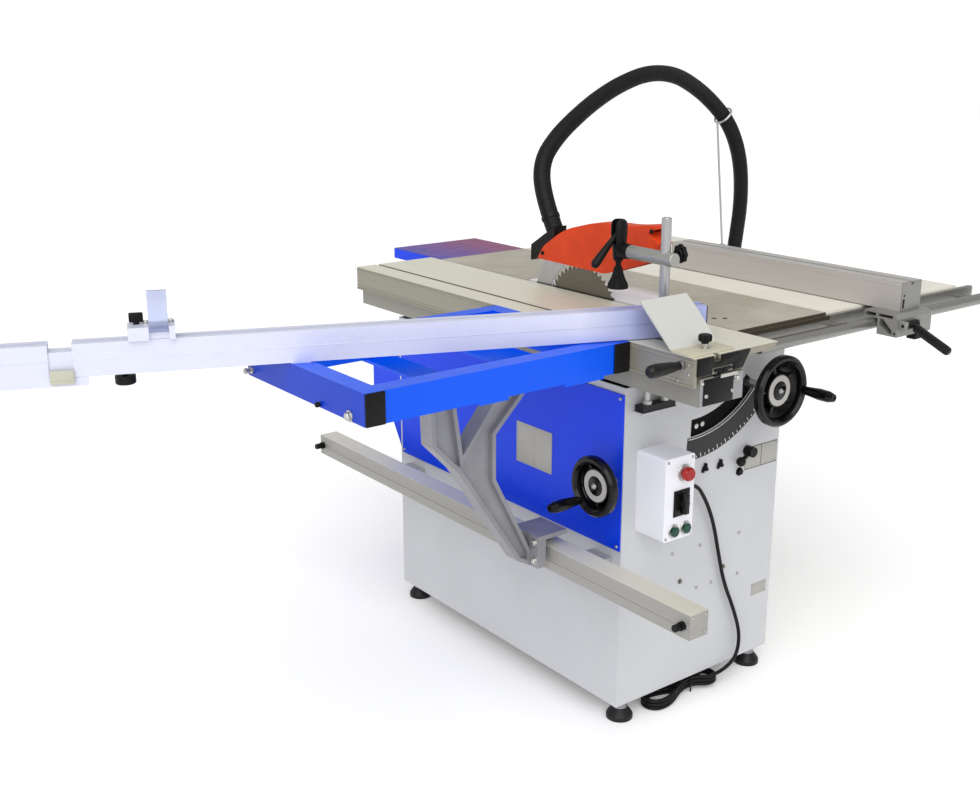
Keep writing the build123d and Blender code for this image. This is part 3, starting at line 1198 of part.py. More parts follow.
def make_clamp_column():
    column = rod_z(CLAMP_COLUMN_BOTTOM, CLAMP_COLUMN_TOP, CLAMP_X, CLAMP_Y, CLAMP_COLUMN_R)
    low = TABLE_TOP + PAD_GAP
    return column + rod_z(low, low + CLAMP_FLANGE, CLAMP_X, CLAMP_Y, CLAMP_FLANGE_R)


def make_clamp_arm():
    arm = rod_y(CLAMP_ARM_FRONT, CLAMP_BODY_Y, CLAMP_X, CLAMP_ARM_Z, CLAMP_ARM_R)
    boss_low = CLAMP_ARM_Z - 2 * CLAMP_ARM_R
    boss_top = CLAMP_ARM_Z + 1.5 * CLAMP_ARM_R
    arm += rod_z(boss_low, boss_top, CLAMP_X, CLAMP_Y, CLAMP_ARM_R + CLAMP_BOSS_WALL)
    arm += rod_z(CLAMP_BODY_BOTTOM, CLAMP_BODY_TOP, CLAMP_X, CLAMP_BODY_Y, CLAMP_BODY_R)
    arm -= rod_z(boss_low - FREE, boss_top + FREE, CLAMP_X, CLAMP_Y, CLAMP_COLUMN_R + RUN)
    bore_top = CLAMP_STEM_TOP + CLAMP_LIFT + FREE
    arm -= rod_z(CLAMP_BODY_BOTTOM - FREE, bore_top, CLAMP_X, CLAMP_BODY_Y, CLAMP_STEM_R + RUN)
    pivot_z = CLAMP_BODY_TOP - LEVER_PIVOT_DROP
    slot = LEVER_HUB_R + FREE
    half = LEVER_HUB / 2 + GAP
    arm -= block(CLAMP_X - CLAMP_BODY_R - FREE, CLAMP_X + CLAMP_BODY_R / 2, CLAMP_BODY_Y - half,
                 CLAMP_BODY_Y + half, pivot_z - 2 * slot - 3 * FREE, CLAMP_BODY_TOP + FREE)
    reach = CLAMP_BODY_R + FREE
    return arm - rod_y(CLAMP_BODY_Y - reach, CLAMP_BODY_Y + reach, CLAMP_X, pivot_z, LEVER_PIN_R + RUN)


def make_clamp_lever():
    pivot_z = CLAMP_BODY_TOP - LEVER_PIVOT_DROP
    half = LEVER_HUB / 2
    lever = rod_y(CLAMP_BODY_Y - half, CLAMP_BODY_Y + half, CLAMP_X, pivot_z, LEVER_HUB_R - 3 * FREE)
    slope = radians(LEVER_SLOPE)
    start = Vector(CLAMP_X, CLAMP_BODY_Y, pivot_z)
    end = Vector(CLAMP_X - LEVER_LENGTH * cos(slope), CLAMP_BODY_Y, pivot_z - LEVER_LENGTH * sin(slope))
    neck = start + (end - start) * 0.35
    lever += rod_between(start, neck, LEVER_HUB / 2 - FREE)
    lever += ball_lever(neck, end, LEVER_R, LEVER_R)
    pin = CLAMP_BODY_R - 2 * FREE
    return lever + rod_y(CLAMP_BODY_Y - pin, CLAMP_BODY_Y + pin, CLAMP_X, pivot_z, LEVER_PIN_R)


def make_clamp_foot():
    stem = CLAMP_STEM_TOP - CLAMP_FOOT_BOTTOM
    high = CLAMP_FOOT_HEIGHT
    outline = [(0, 0), (CLAMP_FOOT_R, 0), (CLAMP_FOOT_R, 0.15 * high), (0.75 * CLAMP_FOOT_R, 0.35 * high),
               (0.6 * CLAMP_FOOT_R, high), (CLAMP_STEM_R, high), (CLAMP_STEM_R, stem), (0, stem)]
    return Pos(CLAMP_X, CLAMP_BODY_Y, CLAMP_FOOT_BOTTOM) * turned(outline)


# Rip fence

def make_rip_rail():
    rail = rod_x(ROD_LEFT, ROD_RIGHT, ROD_Y, ROD_Z, ROD_R)
    flat_front = TABLE_FRONT - FLAT_THICK
    rail += block(FLAT_LEFT, FLAT_RIGHT, flat_front, TABLE_FRONT, FLAT_BOTTOM, FLAT_BOTTOM + FLAT_HEIGHT)
    pitch = (FLAT_RIGHT - FLAT_LEFT - 2 * RAIL_STUD_INSET) / (RAIL_STUDS - 1)
    for i in range(RAIL_STUDS):
        rail += rod_y(ROD_Y, flat_front, FLAT_LEFT + RAIL_STUD_INSET + i * pitch, ROD_Z, RAIL_STUD_R)
    return rail - rod_x(ROD_LEFT - FREE, ROD_RIGHT + FREE, ROD_Y, ROD_Z, ROD_R - ROD_WALL)


def make_rip_fence():
    right = RIP_LEFT + RIP_WIDTH
    low = CARRIER_TOP
    top = low + RIP_HEIGHT
    w = RIP_WALL
    middle = RIP_LEFT + RIP_WIDTH / 2
    fence = block(RIP_LEFT, right, RIP_FRONT, RIP_BACK, low, top)
    y0 = RIP_FRONT - FREE
    y1 = RIP_BACK + FREE
    fence -= block(RIP_LEFT + w, right - w, y0, y1, low + w, top - 4 * w)
    slot = RIP_SLOT / 2
    fence -= block(middle - slot, middle + slot, y0, y1, top - 3 * w, top + FREE)
    return fence - block(middle - 2 * slot, middle + 2 * slot, y0, y1, top - 3 * w, top - w)


def make_rip_fence_carrier():
    inner_front = ROD_Y - ROD_R - CARRIER_GAP
    plate_low = ROD_Z + ROD_R + GAP
    outline = [(CARRIER_FRONT, CARRIER_BOTTOM), (inner_front, CARRIER_BOTTOM), (inner_front, plate_low),
               (CARRIER_BACK, plate_low), (CARRIER_BACK, CARRIER_TOP),
               (CARRIER_FRONT + CARRIER_CHAMFER, CARRIER_TOP), (CARRIER_FRONT, CARRIER_TOP - CARRIER_CHAMFER)]
    carrier = prism_x(outline, CARRIER_LEFT, CARRIER_LEFT + CARRIER_WIDTH)
    half = RIP_LEVER_HUB / 2 + GAP
    ear_low = RIP_LEVER_Z - RIP_LEVER_HUB_R
    ear_high = RIP_LEVER_Z + RIP_LEVER_HUB_R
    ear_front = CARRIER_FRONT - 2 * RIP_LEVER_HUB_R
    for x0 in (RIP_LEVER_X - half - RIP_EAR, RIP_LEVER_X + half):
        carrier += block(x0, x0 + RIP_EAR, ear_front, CARRIER_FRONT, ear_low, ear_high)
    return carrier - rod_x(RIP_LEVER_X - half - RIP_EAR - FREE, RIP_LEVER_X + half + RIP_EAR + FREE,
                           CARRIER_FRONT - RIP_LEVER_HUB_R - FREE, RIP_LEVER_Z, RIP_LEVER_PIN_R + RUN)


def make_rip_fence_lever():
    y = CARRIER_FRONT - RIP_LEVER_HUB_R - FREE
    half = RIP_LEVER_HUB / 2
    start = Vector(RIP_LEVER_X, y, RIP_LEVER_Z)
    end = Vector(RIP_LEVER_X, y - RIP_LEVER_LENGTH, RIP_LEVER_Z - RIP_LEVER_DROP)
    lever = rod_x(RIP_LEVER_X - half, RIP_LEVER_X + half, y, RIP_LEVER_Z, RIP_LEVER_HUB_R - FREE)
    lever += ball_lever(start, end, RIP_LEVER_R, RIP_LEVER_R)
    pin = half + GAP + RIP_EAR - FREE
    return lever + rod_x(RIP_LEVER_X - pin, RIP_LEVER_X + pin, y, RIP_LEVER_Z, RIP_LEVER_PIN_R)


# Hose, cable and what is on them

HOSE_MOUTH = (BLADE_X, SPOUT_Y, HOSE_SEAT)
HOSE_LEAN = (BLADE_X, SPOUT_Y + HOSE_START * SPOUT_AXIS.Y, HOSE_SEAT + HOSE_START * SPOUT_AXIS.Z)
HOSE_END = HOOD_RIGHT + HOSE_PORT_GAP
HOSE_ROUTE = [HOSE_MOUTH, HOSE_LEAN, (35, 182, 1185), (103, 201, 1241), (182, 220, 1283), (265, 241, 1320),
              (360, 256, 1355), (462, 264, 1380), (561, 267, 1375), (648, 272, 1341), (725, 272, 1294),
              (789, 263, 1231), (830, 256, 1139), (844, 256, 1023), (838, 264, 905), (828, 270, 800),
              (800, 306, 706), (738, 356, 642), (650, 412, 606), (550, 466, 584), (450, 512, 574),
              (352, 536, 577), (HOSE_END + HOSE_LAST, PORT_Y, PORT_Z), (HOSE_END, PORT_Y, PORT_Z)]


def level(step):
    """The height of the cable's centre on one layer of the hank."""
    return CABLE_R + HANK_FLOOR_GAP + step * HANK_STEP


CABLE_START = BOX_RIGHT + GLAND_LENGTH
CABLE_END = (HANK_X + HANK_RIGHT_RUN, HANK_Y - HANK_TURN_R, level(HANK_LOOPS))
CABLE_ROUTE = [(CABLE_START, GLAND_Y, GLAND_Z), (CABLE_START + GLAND_LEAD, GLAND_Y, GLAND_Z), (38, -396, 489),
               (74, -391, 420), (98, -389, 338), (121, -389, 262), (159, -391, 184), (182, -395, 112),
               (172, -395, 56), (CABLE_END[0] + HANK_LEAD, CABLE_END[1], CABLE_END[2]), CABLE_END]


def rounded_path(points):
    """Straight runs joined by the largest tangent arcs that the runs allow, with the arcs' radii."""
    spots = [Vector(*p) for p in points]
    radii = []
    for a, b, c in zip(spots, spots[1:], spots[2:]):
        before = b - a
        after = c - b
        turn = acos(max(-1, min(1, before.normalized().dot(after.normalized()))))
        radii.append(0.45 * min(before.length, after.length) / tan(turn / 2))
    return FilletPolyline(*spots, radius=radii), radii


def round_tube(path, r):
    """A solid round tube along a path, with its share of the expected volume."""
    tube = sweep(Plane(origin=path @ 0, z_dir=path % 0) * Circle(r), path=path)
    return tube, tube.volume / (pi * r * r * path.length)


def ribbed_hose(path):
    """A hose of ridges and grooves: four circles to a rib, joined by straight walls, with a round bore."""
    def ring(t, r):
        spot = path @ t
        along = path % t
        across = Vector(0, 1, 0)
        across = across - along * across.dot(along)
        return Wire.make_circle(r, Plane(origin=spot, x_dir=across, z_dir=along))
    rings = []
    groove_r = HOSE_R - HOSE_GROOVE
    for i in range(HOSE_RIBS):
        for share, r in ((0, groove_r), (0.15, HOSE_R), (0.6, HOSE_R), (0.75, groove_r)):
            rings.append(ring((i + share) / HOSE_RIBS, r))
    rings.append(ring(1, groove_r))
    outside = Solid.make_loft(rings, True)
    bore, share = round_tube(path, HOSE_BORE_R)
    return outside - bore, share


def make_hose_stand(path):
    """A wire stand on the wing's right edge, with a ring round the hose."""
    spot = path @ STAND_AT
    along = path % STAND_AT
    foot = Vector(STAND_X, STAND_Y, TABLE_TOP)
    towards = foot - spot
    towards = (towards - along * towards.dot(along)).normalized()
    ring = Plane(origin=spot, z_dir=along) * Torus(STAND_RING_R, STAND_ROD_R)
    rod = rod_between(foot, spot + towards * STAND_RING_R, STAND_ROD_R)
    half = STAND_BLOCK / 2
    base = block(WING_RIGHT, STAND_X + half, STAND_Y - half, STAND_Y + half, CAB_TOP, TABLE_TOP)
    return base + rod + ring


def make_cable_gland():
    nut = 0.3 * GLAND_LENGTH
    outline = [(0, 0), (GLAND_R, 0), (GLAND_R, nut), (0.75 * GLAND_R, nut + FREE),
               (CABLE_R + 2 * FREE, GLAND_LENGTH), (0, GLAND_LENGTH)]
    return Pos(BOX_RIGHT, GLAND_Y, GLAND_Z) * Rot(0, 90, 0) * turned(outline)


def s_bend(start, end):
    """Two tangent arcs between two points, level with X at both ends."""
    ahead = Vector(1 if end.X > start.X else -1, 0, 0)
    middle = (start + end) * 0.5
    first = Edge.make_tangent_arc(start, ahead, middle)
    return [first, Edge.make_tangent_arc(middle, first % 1, end)]


def hank_path():
    """The wound cable from its plug: loops drawn in at the waist, each a step higher along its front run."""
    right = HANK_X + HANK_RIGHT_RUN
    left = HANK_X - HANK_LEFT_RUN
    back = HANK_Y + HANK_TURN_R
    front = HANK_Y - HANK_TURN_R
    corner = Vector(right, back, level(0))
    bend = Vector(right + TAIL_TURN_R, back + TAIL_TURN_R, level(0))
    plug_z = PLUG_R + HANK_FLOOR_GAP
    start = Vector(bend.X, bend.Y + TAIL_RUN, plug_z)
    middle = (start + bend) * 0.5
    drop = Edge.make_tangent_arc(start, Vector(0, -1, 0), middle)
    edges = [drop, Edge.make_tangent_arc(middle, drop % 1, bend)]
    edges.append(Edge.make_tangent_arc(bend, Vector(0, -1, 0), corner))
    for i in range(HANK_LOOPS):
        low = level(i)
        high = level(i + 1)
        edges += s_bend(Vector(right, back, low), Vector(HANK_X, HANK_Y + HANK_WAIST, low))
        edges += s_bend(Vector(HANK_X, HANK_Y + HANK_WAIST, low), Vector(left, back, low))
        edges.append(Edge.make_tangent_arc(Vector(left, back, low), Vector(-1, 0, 0), Vector(left, front, low)))
        edges += s_bend(Vector(left, front, low), Vector(HANK_X, HANK_Y - HANK_WAIST, high))
        edges += s_bend(Vector(HANK_X, HANK_Y - HANK_WAIST, high), Vector(right, front, high))
        if i < HANK_LOOPS - 1:
            ahead = Vector(1, 0, 0)
            edges.append(Edge.make_tangent_arc(Vector(right, front, high), ahead, Vector(right, back, high)))
    return Wire(edges)


def least_gap(path, r):
    """The least free space between parts of a wound tube that are not neighbours along it."""
    count = int(path.length / (r / 2))
    spots = [path @ (i / count) for i in range(count + 1)]
    reach = int(4 * r / (path.length / count)) + 1
    least = path.length
    for i, a in enumerate(spots):
        for b in spots[i + reach:]:
            near = (a - b).length
            if near < least:
                least = near
    return least - 2 * r


def make_mains_plug(start):
    """The plug behind the hank, with its flex at its near end and its pins at the far end."""
    sleeve = 0.4 * PLUG_LENGTH
    outline = [(0, 0), (CABLE_R + 3 * FREE, 0), (0.75 * PLUG_R, sleeve - 4 * FREE), (PLUG_R, sleeve),
               (PLUG_R, PLUG_LENGTH), (0, PLUG_LENGTH)]
    plug = Pos(start) * Rot(-90, 0, 0) * turned(outline)
    for dx in (-PLUG_PIN_PITCH, PLUG_PIN_PITCH):
        face = start.Y + PLUG_LENGTH
        plug += rod_y(face, face + PLUG_PIN_LENGTH, start.X + dx, start.Z, PLUG_PIN_R)
    return plug


hose_path, hose_radii = rounded_path(HOSE_ROUTE)
hank = hank_path()
cable_path, cable_radii = rounded_path(CABLE_ROUTE)
hose_solid, hose_share = ribbed_hose(hose_path)
cable_solid, cable_share = round_tube(cable_path, CABLE_R)
hank_solid, hank_share = round_tube(hank, CABLE_R)

NODES = {
    "cabinet": make_cabinet(),
    "side_cover": make_side_cover(),
    "rear_hood": make_rear_hood(),
    "leveling_feet": make_leveling_feet(),
    "angle_scale": make_angle_scale(),
    "control_box": make_control_box(),
    "estop_button": push_button(ESTOP_X, ESTOP_Z, ESTOP_R, ESTOP_HEAD, ESTOP_TRAVEL),
    "start_button_left": push_button(START_LEFT_X, START_Z, START_R, START_HEAD, START_TRAVEL),
    "start_button_right": push_button(START_RIGHT_X, START_Z, START_R, START_HEAD, START_TRAVEL),
    "selector_knob": make_selector_knob(),
    "tilt_lock_lever": make_tilt_lock_lever(),
    "main_table": make_main_table(),
    "table_insert": make_table_insert(),
    "extension_wing": make_extension_wing(),
    "rear_extension": make_rear_extension(),
    "trunnion_supports": make_trunnion_supports(),
    "tilt_cradle": make_tilt_cradle(),
    "arbor_housing": make_arbor_housing(),
    "motor": make_motor(),
    "motor_pulley": make_motor_pulley(),
    "drive_belt": make_drive_belt(),
    "arbor_shaft": make_arbor_shaft(),
    "saw_blade": make_saw_blade(),
    "blade_flanges": make_blade_flanges(),
    "riving_knife": make_riving_knife(),
    "blade_guard": make_blade_guard(),
    "guard_spout": make_guard_spout(),
    "height_screw": make_height_screw(),
    "height_wheel": HEIGHT_WHEEL_PLACE * wheel(HEIGHT_WHEEL_R, HEIGHT_GRIP_ANGLE),
    "height_wheel_grip": HEIGHT_WHEEL_PLACE * grip(HEIGHT_WHEEL_R, HEIGHT_GRIP_ANGLE),
    "tilt_screw": make_tilt_screw(),
    "tilt_wheel": TILT_WHEEL_PLACE * wheel(TILT_WHEEL_R, TILT_GRIP_ANGLE),
    "tilt_wheel_grip": TILT_WHEEL_PLACE * grip(TILT_WHEEL_R, TILT_GRIP_ANGLE),
    "beam": make_beam(),
    "slide_brackets": make_slide_brackets(),
    "lower_rail": make_lower_rail(),
    "carriage": make_carriage(),
    "push_handle": make_push_handle(),
    "outrigger_frame": make_outrigger_frame(),
    "support_strut": make_support_strut(),
    "strut_roller": make_strut_roller(),
    "crosscut_fence": make_crosscut_fence(),
    "fence_extension": make_fence_extension(),
    "flip_stop": make_flip_stop(),
    "stop_finger": make_stop_finger(),
    "edging_shoe": make_edging_shoe(),
    "clamp_column": make_clamp_column(),
    "clamp_arm": make_clamp_arm(),
    "clamp_lever": make_clamp_lever(),
    "clamp_foot": make_clamp_foot(),
    "rip_rail": make_rip_rail(),
    "rip_fence": make_rip_fence(),
    "rip_fence_carrier": make_rip_fence_carrier(),
    "rip_fence_lever": make_rip_fence_lever(),
    "hose_stand": make_hose_stand(hose_path),
    "dust_hose": hose_solid,
    "cable_gland": make_cable_gland(),
    "power_cable": cable_solid,
    "cable_hank": hank_solid,
    "mains_plug": make_mains_plug(hank @ 0),
}

os.makedirs("parts", exist_ok=True)
for name, shape in NODES.items():
    export_step(shape, f"parts/{name}.step")

print("nodes", len(NODES))
print("hose length", round(hose_path.length), "least radius", round(min(hose_radii)))
print("hose bore's share of its volume", round(hose_share, 4))
print("cable length", round(cable_path.length), "least radius", round(min(cable_radii)))
print("cable's share of its volume", round(cable_share, 4))
print("hank length", round(hank.length), "share of its volume", round(hank_share, 4))
print("hank's least gap", round(least_gap(hank, CABLE_R), 2))
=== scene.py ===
import math

import bmesh
import bpy
from mathutils import Matrix, Vector


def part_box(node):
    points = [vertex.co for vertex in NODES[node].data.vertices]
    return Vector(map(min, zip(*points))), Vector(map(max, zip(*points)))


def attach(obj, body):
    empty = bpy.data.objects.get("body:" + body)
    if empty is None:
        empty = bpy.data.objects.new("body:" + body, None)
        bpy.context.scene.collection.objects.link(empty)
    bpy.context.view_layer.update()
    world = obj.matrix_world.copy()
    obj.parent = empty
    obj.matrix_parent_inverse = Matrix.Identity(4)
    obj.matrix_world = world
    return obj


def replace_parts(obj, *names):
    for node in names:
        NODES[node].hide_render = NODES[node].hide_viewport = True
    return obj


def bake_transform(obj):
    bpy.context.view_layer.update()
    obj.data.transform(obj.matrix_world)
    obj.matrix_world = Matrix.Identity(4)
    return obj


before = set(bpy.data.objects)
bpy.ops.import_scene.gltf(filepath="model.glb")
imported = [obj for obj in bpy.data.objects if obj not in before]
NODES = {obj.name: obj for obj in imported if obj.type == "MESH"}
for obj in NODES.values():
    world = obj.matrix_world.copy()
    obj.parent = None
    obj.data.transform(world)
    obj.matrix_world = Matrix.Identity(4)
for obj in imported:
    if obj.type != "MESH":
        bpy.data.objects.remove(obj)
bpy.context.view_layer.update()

# Lengths in this script are millimetres; a finished mesh is scaled to metres
MM = 0.001
WELD = 0.002
SHARP_ANGLE = math.radians(32)
ROUND_STEPS = 28
UPWARD, TO_RIGHT, TO_LEFT, TO_FRONT = (0, 0, 1), (1, 0, 0), (-1, 0, 0), (0, -1, 0)


# Camera, floor and light

CAMERA_PLACE = (-1.902, -2.148, 1.48075)
CAMERA_DOWN = math.radians(16.18)
CAMERA_TURN = math.radians(37.39)
CAMERA_SENSOR = 36.0
CAMERA_FOCAL_PIXELS = 1240.5
IMAGE_WIDTH = 980.0
FLOOR_SIZE = 16.0
FLOOR_DROP = 0.0006


def add_camera():
    """The camera at the photograph's place and angle."""
    lens = bpy.data.cameras.new("photo_camera")
    lens.sensor_width = CAMERA_SENSOR
    lens.lens = CAMERA_SENSOR * CAMERA_FOCAL_PIXELS / IMAGE_WIDTH
    camera = bpy.data.objects.new("photo_camera", lens)
    camera.location = CAMERA_PLACE
    camera.rotation_euler = (math.pi / 2 - CAMERA_DOWN, 0.0, -CAMERA_TURN)
    bpy.context.scene.collection.objects.link(camera)
    bpy.context.scene.camera = camera


ROOM_LIGHT = 0.55
SUN_POWER = 2.3
SUN_FROM = (-0.52, -0.58, 0.75)
SUN_SPREAD = math.radians(70)


def add_sun():
    """A broad soft lamp from the upper left."""
    lamp = bpy.data.lights.new("soft_sun", "SUN")
    lamp.energy = SUN_POWER
    lamp.angle = SUN_SPREAD
    sun = bpy.data.objects.new("soft_sun", lamp)
    sun.rotation_euler = Vector(SUN_FROM).to_track_quat("Z", "Y").to_euler()
    bpy.context.scene.collection.objects.link(sun)


def add_room():
    """A white room: it is seen as plain white, and lights the object less strongly than that."""
    world = bpy.data.worlds.new("white_room")
    world.use_nodes = True
    sky = world.node_tree.nodes["Background"]
    sky.inputs["Color"].default_value = WHITE
    seen = Wire(world.node_tree).node("ShaderNodeLightPath", {}, {}, "Is Camera Ray")
    strength = seen * (1.0 - ROOM_LIGHT) + ROOM_LIGHT
    world.node_tree.links.new(strength.socket, sky.inputs["Strength"])
    bpy.context.scene.world = world
    bpy.context.scene.view_settings.view_transform = "Standard"


def add_floor():
    """A wide plain floor just below the object."""
    mesh = bpy.data.meshes.new("floor")
    bm = bmesh.new()
    bmesh.ops.create_grid(bm, x_segments=2, y_segments=2, size=FLOOR_SIZE)
    bmesh.ops.translate(bm, vec=(0, 0, -FLOOR_DROP), verts=bm.verts)
    bm.to_mesh(mesh)
    bm.free()
    mesh.materials.append(floor_finish())
    floor = bpy.data.objects.new("floor", mesh)
    bpy.context.scene.collection.objects.link(floor)


# Shader maths

class Wire:
    """An output socket of a material. Arithmetic on it adds Math nodes."""

    def __init__(self, tree, socket=None):
        self.tree = tree
        self.socket = socket

    def node(self, kind, settings, sockets, output=0):
        """Adds a node: its settings first, then the values or links of its sockets."""
        made = self.tree.nodes.new(kind)
        for name, value in settings.items():
            setattr(made, name, value)
        for key, value in sockets.items():
            if isinstance(value, Wire):
                self.tree.links.new(value.socket, made.inputs[key])
            else:
                made.inputs[key].default_value = value
        return Wire(self.tree, made.outputs[output])

    def math(self, operation, first, second):
        """Adds a Math node."""
        return self.node("ShaderNodeMath", {"operation": operation}, {0: first, 1: second})

    def __add__(self, other):
        return self.math("ADD", self, other)

    def __sub__(self, other):
        return self.math("SUBTRACT", self, other)

    def __rsub__(self, other):
        return self.math("SUBTRACT", other, self)

    def __mul__(self, other):
        return self.math("MULTIPLY", self, other)

    def __gt__(self, other):
        return self.math("GREATER_THAN", self, other)

    def __lt__(self, other):
        return self.math("LESS_THAN", self, other)

    __radd__ = __add__
    __rmul__ = __mul__


def finish(name, fixed, varied):
    """A material: fixed values stand on the shader, varied ones are linked to it."""
    made = bpy.data.materials.new(name)
    made.use_nodes = True
    shader = made.node_tree.nodes["Principled BSDF"]
    for socket, value in fixed.items():
        shader.inputs[socket].default_value = value
    for socket, wire in varied(Wire(made.node_tree)).items():
        made.node_tree.links.new(wire.socket, shader.inputs[socket])
    return made


SCREEN_FULL = 255
CURVE_KNEE, CURVE_SLOPE, CURVE_LIFT, CURVE_POWER = 0.0405, 12.92, 0.055, 2.4


def colour(*seen):
    """A colour given as it is seen on a screen, from 0 to 255, as the shader wants it."""
    parts = [part / SCREEN_FULL for part in seen]
    return (*[p / CURVE_SLOPE if p < CURVE_KNEE else ((p + CURVE_LIFT) / (1 + CURVE_LIFT)) ** CURVE_POWER
              for p in parts], 1.0)


def shade(tint, factor):
    """A tint with its light multiplied by a factor."""
    return (*[part * factor for part in tint[:3]], 1.0)


def place(wire):
    """The surface point, in metres."""
    return wire.node("ShaderNodeTexCoord", {}, {}, "Object")


def axis_of(wire, axis):
    """One coordinate of the surface point, in metres."""
    return wire.node("ShaderNodeSeparateXYZ", {}, {0: place(wire)}, axis)


# Detail of a noise, from smooth to busy
SMOOTH, PLAIN, FINE, SKIN, STAIN = 2.0, 3.0, 4.0, 5.0, 6.0
# The middle of a noise, where most of its values lie
NOISE_LOW, NOISE_HIGH = 0.3, 0.7
# Sockets of a colour's Mix node
MIX_FACTOR, MIX_FIRST, MIX_SECOND, MIX_RESULT = 0, 6, 7, 2


def noise(wire, scale, detail=PLAIN, stretch=(1.0, 1.0, 1.0), turn=0.0):
    """A noise that may be stretched along an axis and turned about Z."""
    spot = wire.node("ShaderNodeMapping", {}, {"Vector": place(wire), "Scale": stretch,
                                               "Rotation": (0.0, 0.0, turn)})
    return wire.node("ShaderNodeTexNoise", {}, {"Vector": spot, "Scale": scale, "Detail": detail})


def spread(wire, low, high):
    """Stretches the middle of a noise over a range of values."""
    return wire.node("ShaderNodeMapRange", {}, {"Value": wire, "From Min": NOISE_LOW, "From Max": NOISE_HIGH,
                                                "To Min": low, "To Max": high})


def about(wire, middle, reach):
    """Stretches the middle of a noise to either side of a value; reach says how far down and up."""
    down, up = reach
    return spread(wire, middle - down, middle + up)


def ramp(wire, start, end):
    """A length in metres as a value that grows from 0 to 1 between two levels in millimetres."""
    return wire.node("ShaderNodeMapRange", {}, {"Value": wire, "From Min": start * MM, "From Max": end * MM})


def mix(wire, factor, first, second):
    """A blend of two colours."""
    sockets = {MIX_FACTOR: factor, MIX_FIRST: first, MIX_SECOND: second}
    return wire.node("ShaderNodeMix", {"data_type": "RGBA"}, sockets, MIX_RESULT)


def bump(wire, height, strength, depth=0.0003):
    """A relief of the surface, its depth in metres."""
    return wire.node("ShaderNodeBump", {}, {"Height": height, "Strength": strength, "Distance": depth})


def clouded(wire, scale, tint, left):
    """A tint with broad darker clouds, where only a share of its light is left."""
    return mix(wire, spread(noise(wire, scale), 0.0, 1.0), tint, shade(tint, left))


def zoned(wire, tint, zones, made):
    """A colour that made gives for a tint, and in each zone's mask for the zone's own tint."""
    base = made(tint)
    for mask_of, other in zones:
        base = mix(wire, mask_of(wire), base, made(other))
    return base


# Masks

def above(axis, level):
    """A mask that is 1 where a coordinate is over a level in millimetres."""
    return lambda wire: axis_of(wire, axis) > level * MM


def between(axis, low, high):
    """A mask that is 1 between two levels in millimetres."""
    return lambda wire: (axis_of(wire, axis) > low * MM) * (axis_of(wire, axis) < high * MM)


def fade(axis, start, end):
    """A mask that grows from 0 to 1 between two levels in millimetres."""
    return lambda wire: ramp(axis_of(wire, axis), start, end)


def both(first, second):
    """A mask that is 1 where two masks are 1."""
    return lambda wire: first(wire) * second(wire)


FACE_ROOM = 1.0
FACE_DEPTH = 0.5


def low_face(axis, level):
    """A mask that is 1 on the face at a piece's lowest level."""
    return between(axis, level - FACE_ROOM, level + FACE_DEPTH)


# Kinds of finish. Scales of noise are per metre; a reach is how far a roughness goes down and up.

FENCE_TURN = math.radians(21.9)
ALONG_X = (0.02, 1.0, 1.0)
ALONG_Y = (1.0, 0.02, 1.0)
ALONG_Z = (1.0, 1.0, 0.02)
FINE_REACH = (0.06, 0.08)

PAINT_CLOUD = 5.0
PAINT_LEFT = 0.94
PAINT_WEAR = 30.0
PAINT_REACH = (0.03, 0.04)
PAINT_PEEL = 340.0
PAINT_RELIEF = 0.05


def paint_ripple(wire):
    """The fine ripple of sprayed paint."""
    return bump(wire, noise(wire, PAINT_PEEL, SMOOTH), PAINT_RELIEF)


def painted(name, tint, rough, gleam=0.35, zones=()):
    """Stove enamel with faint clouds; zones are masks and the tints of painted light and shade in them."""
    def varied(wire):
        base = zoned(wire, tint, zones, lambda shown: clouded(wire, PAINT_CLOUD, shown, PAINT_LEFT))
        return {"Base Color": base, "Roughness": about(noise(wire, PAINT_WEAR, FINE), rough, PAINT_REACH),
                "Normal": paint_ripple(wire)}
    return finish(name, {"Specular IOR Level": gleam}, varied)


# Enamel with a painted reflection on its top: how the reflection's edge wanders, how deep the top reaches, and
# the enamel's roughness and gleam
REFLECTION_WANDER = 0.12
REFLECTION_WANDER_SCALE = 9.0
REFLECTION_TOP_DEPTH = 1.0
TINTED_ENAMEL_ROUGH = (0.3, 0.4)
TINTED_ENAMEL_GLEAM = 0.2


def reflection_tinted_enamel(name, low_x, high_x, top, side, first, last):
    """Enamel whose top carries a painted reflection that turns from one colour to another along X; its sides
    keep their colour.
    """
    def varied(wire):
        along = ramp(axis_of(wire, "X") + noise(wire, REFLECTION_WANDER_SCALE) * REFLECTION_WANDER, low_x, high_x)
        upper = mix(wire, along, first, last)
        return {"Base Color": mix(wire, above("Z", top - REFLECTION_TOP_DEPTH)(wire), side, upper),
                "Roughness": spread(noise(wire, PAINT_WEAR, FINE), *TINTED_ENAMEL_ROUGH), "Normal": paint_ripple(wire)}
    return finish(name, {"Specular IOR Level": TINTED_ENAMEL_GLEAM}, varied)


MOULD_CLOUD = 18.0
MOULD_LEFT = 0.82
MOULD_WEAR = 90.0
CLEAR_BEND = 1.49


def moulded(name, tint, rough, grain=1500.0, relief=0.25, clear=0.0, gleam=0.2):
    """Moulded plastic or rubber with a fine grain."""
    def varied(wire):
        return {"Base Color": clouded(wire, MOULD_CLOUD, tint, MOULD_LEFT),
                "Roughness": about(noise(wire, MOULD_WEAR), rough, FINE_REACH),
                "Normal": bump(wire, noise(wire, grain, SMOOTH), relief)}
    fixed = {"Transmission Weight": clear, "IOR": CLEAR_BEND, "Specular IOR Level": gleam}
    return finish(name, fixed, varied)


STREAK_FINE, STREAK_BROAD = 420.0, 60.0
STREAK_SHARES = (0.6, 0.4)
LINE_RELIEF = 0.08


